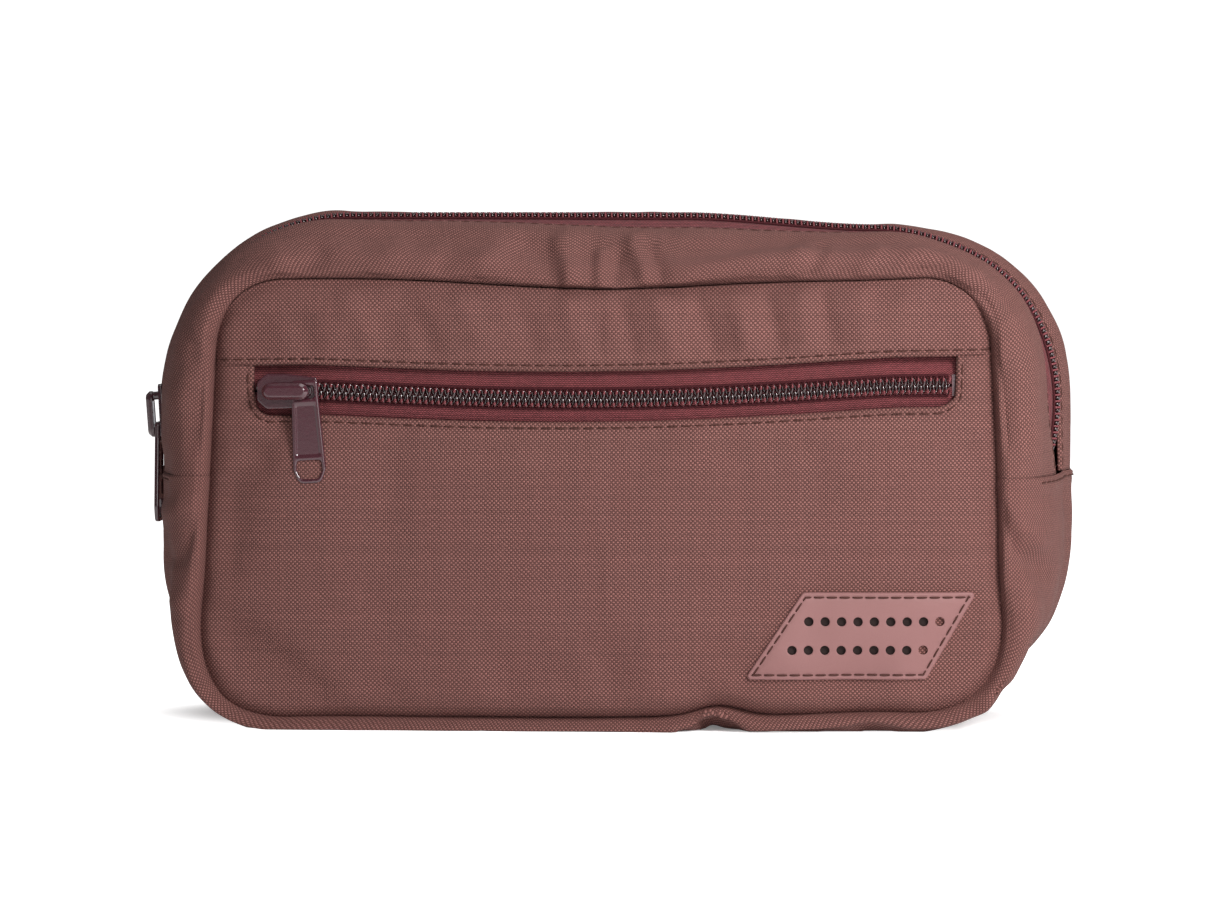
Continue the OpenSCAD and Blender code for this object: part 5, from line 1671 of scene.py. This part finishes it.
# box stitch where each strap is sewn to its wing
for nm, side in (("left", -1), ("right", 1)):
    B = []
    x0, x1, h = side * 115.2, side * 98.0, 10.2
    P = np.array([[x0, -h], [x1, -h], [x1, h], [x0, h], [x0, -h], [x1, h]])
    P2 = []
    for i in range(len(P) - 1):
        P2.append(P[i] + (P[i + 1] - P[i]) * np.linspace(0, 1, 16)[:-1, None])
    P2 = np.concatenate(P2 + [P[-1:]])
    pth = np.stack([P2[:, 0], 0 * P2[:, 0] + BELT_Y + WEB_T * 0.96, P2[:, 1] + BELT_Z], 1)
    stitches("strap_box_stitch_" + nm, pth, np.tile([0, 1.0, 0], (len(pth), 1)), body="belt_" + nm, pitch=3.4, length=2.6, mat=THREAD)
# stitching across the doubled end of the right strap
pz = np.linspace(-10.5, 10.5, 12)
pth = np.stack([0 * pz + 79, 0 * pz + BAR_Y + TURN_R + WEB_T * 0.98, pz + BELT_Z], 1)
stitches("strap_end_stitch_right", pth, np.tile([0, 1.0, 0], (12, 1)), body="belt_right", pitch=3.4, length=2.6)

soften(["strap_keeper"], "keeper_loop", 0.3, 4, BUCKLE, "belt_left")
soften(["buckle_male"], "buckle_prong_half", 0.28, 4, BUCKLE, "buckle_male")
soften(["buckle_female"], "buckle_socket_half", 0.28, 4, BUCKLE, "buckle_female")


# ============================================================ carried-over CAD nodes
def node_material(name, mat):
    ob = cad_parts.get(name)
    if ob is None:
        return
    for o in (ob if isinstance(ob, (list, tuple)) else [ob]):
        if not getattr(o, "data", None):
            continue
        if not o.data.materials:
            o.data.materials.append(mat)
        for k in range(len(o.material_slots)):
            o.material_slots[k].material = mat


for name, mat in (("lining_front", LINING), ("lining_back", LINING),
                  ("front_pocket_bag", LINING), ("back_foam_pad", FOAM),
                  ("main_zip_stops", PAINT), ("front_zip_stops", PAINT), ("front_slider_lock_spring", STEEL), ("main_slider_lock_spring", STEEL)):
    node_material(name, mat)


# ============================================================ floor, light, camera
def floor_material():
    n = Nodes("floor_paper")
    tc = n.new("ShaderNodeTexCoord")
    noise = n.new("ShaderNodeTexNoise")
    noise.inputs["Scale"].default_value = 40
    n.link(tc.outputs["Object"], noise.inputs["Vector"])
    n.link(n.mixc(noise.outputs["Fac"], (0.93, 0.93, 0.93), (0.95, 0.95, 0.95)), n.bsdf.inputs["Base Color"])
    # The floor glows white: painted light, weak under and next to the bag and strong past it, which washes out the
    # lamps' cast shadows around the bag and keeps its contact shadow; camera rays see the full glow, other rays a
    # quarter of it, so it also lights the bag a little from below.
    n.set(Roughness=0.9, Specular_IOR_Level=0.1, Emission_Color=(1.0, 1.0, 1.0))
    ln = n.new("ShaderNodeVectorMath", operation="LENGTH")
    flat = n.new("ShaderNodeMapping")
    flat.inputs["Scale"].default_value = (1.0, 2.6, 1.0)
    flat.inputs["Location"].default_value = (0.0, -0.03, 0.0)
    n.link(tc.outputs["Object"], flat.inputs["Vector"])
    n.link(flat.outputs["Vector"], ln.inputs[0])
    floor_glow_ramp = n.new("ShaderNodeMapRange", interpolation_type="SMOOTHSTEP")
    for key, val in (("From Min", 0.112), ("From Max", 0.158), ("To Min", 0.18), ("To Max", 1.05)):
        floor_glow_ramp.inputs[key].default_value = val
    n.link(ln.outputs["Value"], floor_glow_ramp.inputs["Value"])
    camray = n.new("ShaderNodeLightPath").outputs["Is Camera Ray"]
    n.link(n.m("MULTIPLY", floor_glow_ramp.outputs["Result"], n.m("ADD", 0.25, n.m("MULTIPLY", camray, 0.75))), n.bsdf.inputs["Emission Strength"])
    return n.mat


me = bpy.data.meshes.new("floor")
me.from_pydata([(-3, -3, 0), (3, -3, 0), (3, 3, 0), (-3, 3, 0)], [], [(0, 1, 2, 3)])
me.materials.append(floor_material())
floor = bpy.data.objects.new("floor", me)
scene.collection.objects.link(floor)

world = scene.world or bpy.data.worlds.new("World")
scene.world = world
world.use_nodes = True
bg = world.node_tree.nodes.get("Background") or world.node_tree.nodes.new("ShaderNodeBackground")
bg.inputs["Color"].default_value = (1, 1, 1, 1)
wt = world.node_tree
lp = wt.nodes.new("ShaderNodeLightPath")
wm = wt.nodes.new("ShaderNodeMapRange")
wm.inputs["To Min"].default_value = 0.15
wm.inputs["To Max"].default_value = 1.1
wt.links.new(lp.outputs["Is Camera Ray"], wm.inputs["Value"])
wt.links.new(wm.outputs["Result"], bg.inputs["Strength"])


def area(name, loc, target, size, power, color=(1, 1, 1)):
    ld = bpy.data.lights.new(name, "AREA")
    ld.shape = "RECTANGLE"
    ld.size, ld.size_y = size
    ld.energy = power
    ld.color = color
    ob = bpy.data.objects.new(name, ld)
    ob.location = loc
    ob.rotation_euler = (Vector(target) - Vector(loc)).to_track_quat("-Z", "Y").to_euler()
    scene.collection.objects.link(ob)
    return ob


KEY = area("key", (0.46, -0.52, 0.44), (0.0, 0, 0.08), (0.24, 0.24), 7.2)
TOP = area("top", (0.15, 0.15, 1.3), (0.0, 0, 0.08), (1.1, 0.8), 5)
FILL = area("fill", (0.35, -1.8, 0.45), (0.0, 0, 0.08), (1.0, 0.8), 7.5)

cam_data = bpy.data.cameras.new("camera")
cam_data.lens = 134
cam_data.sensor_width = 36
cam_data.clip_start = 0.02
cam = bpy.data.objects.new("camera", cam_data)
scene.collection.objects.link(cam)
aim = Vector((-0.0011, 0, 0.0815))
az, el = math.radians(3.5), math.radians(3.0)
cam.location = aim + Vector((math.sin(az) * math.cos(el), -math.cos(az) * math.cos(el), math.sin(el))) * 1.4
cam.rotation_euler = (aim - cam.location).to_track_quat("-Z", "Y").to_euler()
scene.camera = cam
scene.view_settings.view_transform = "Standard"
scene.view_settings.look = "None"
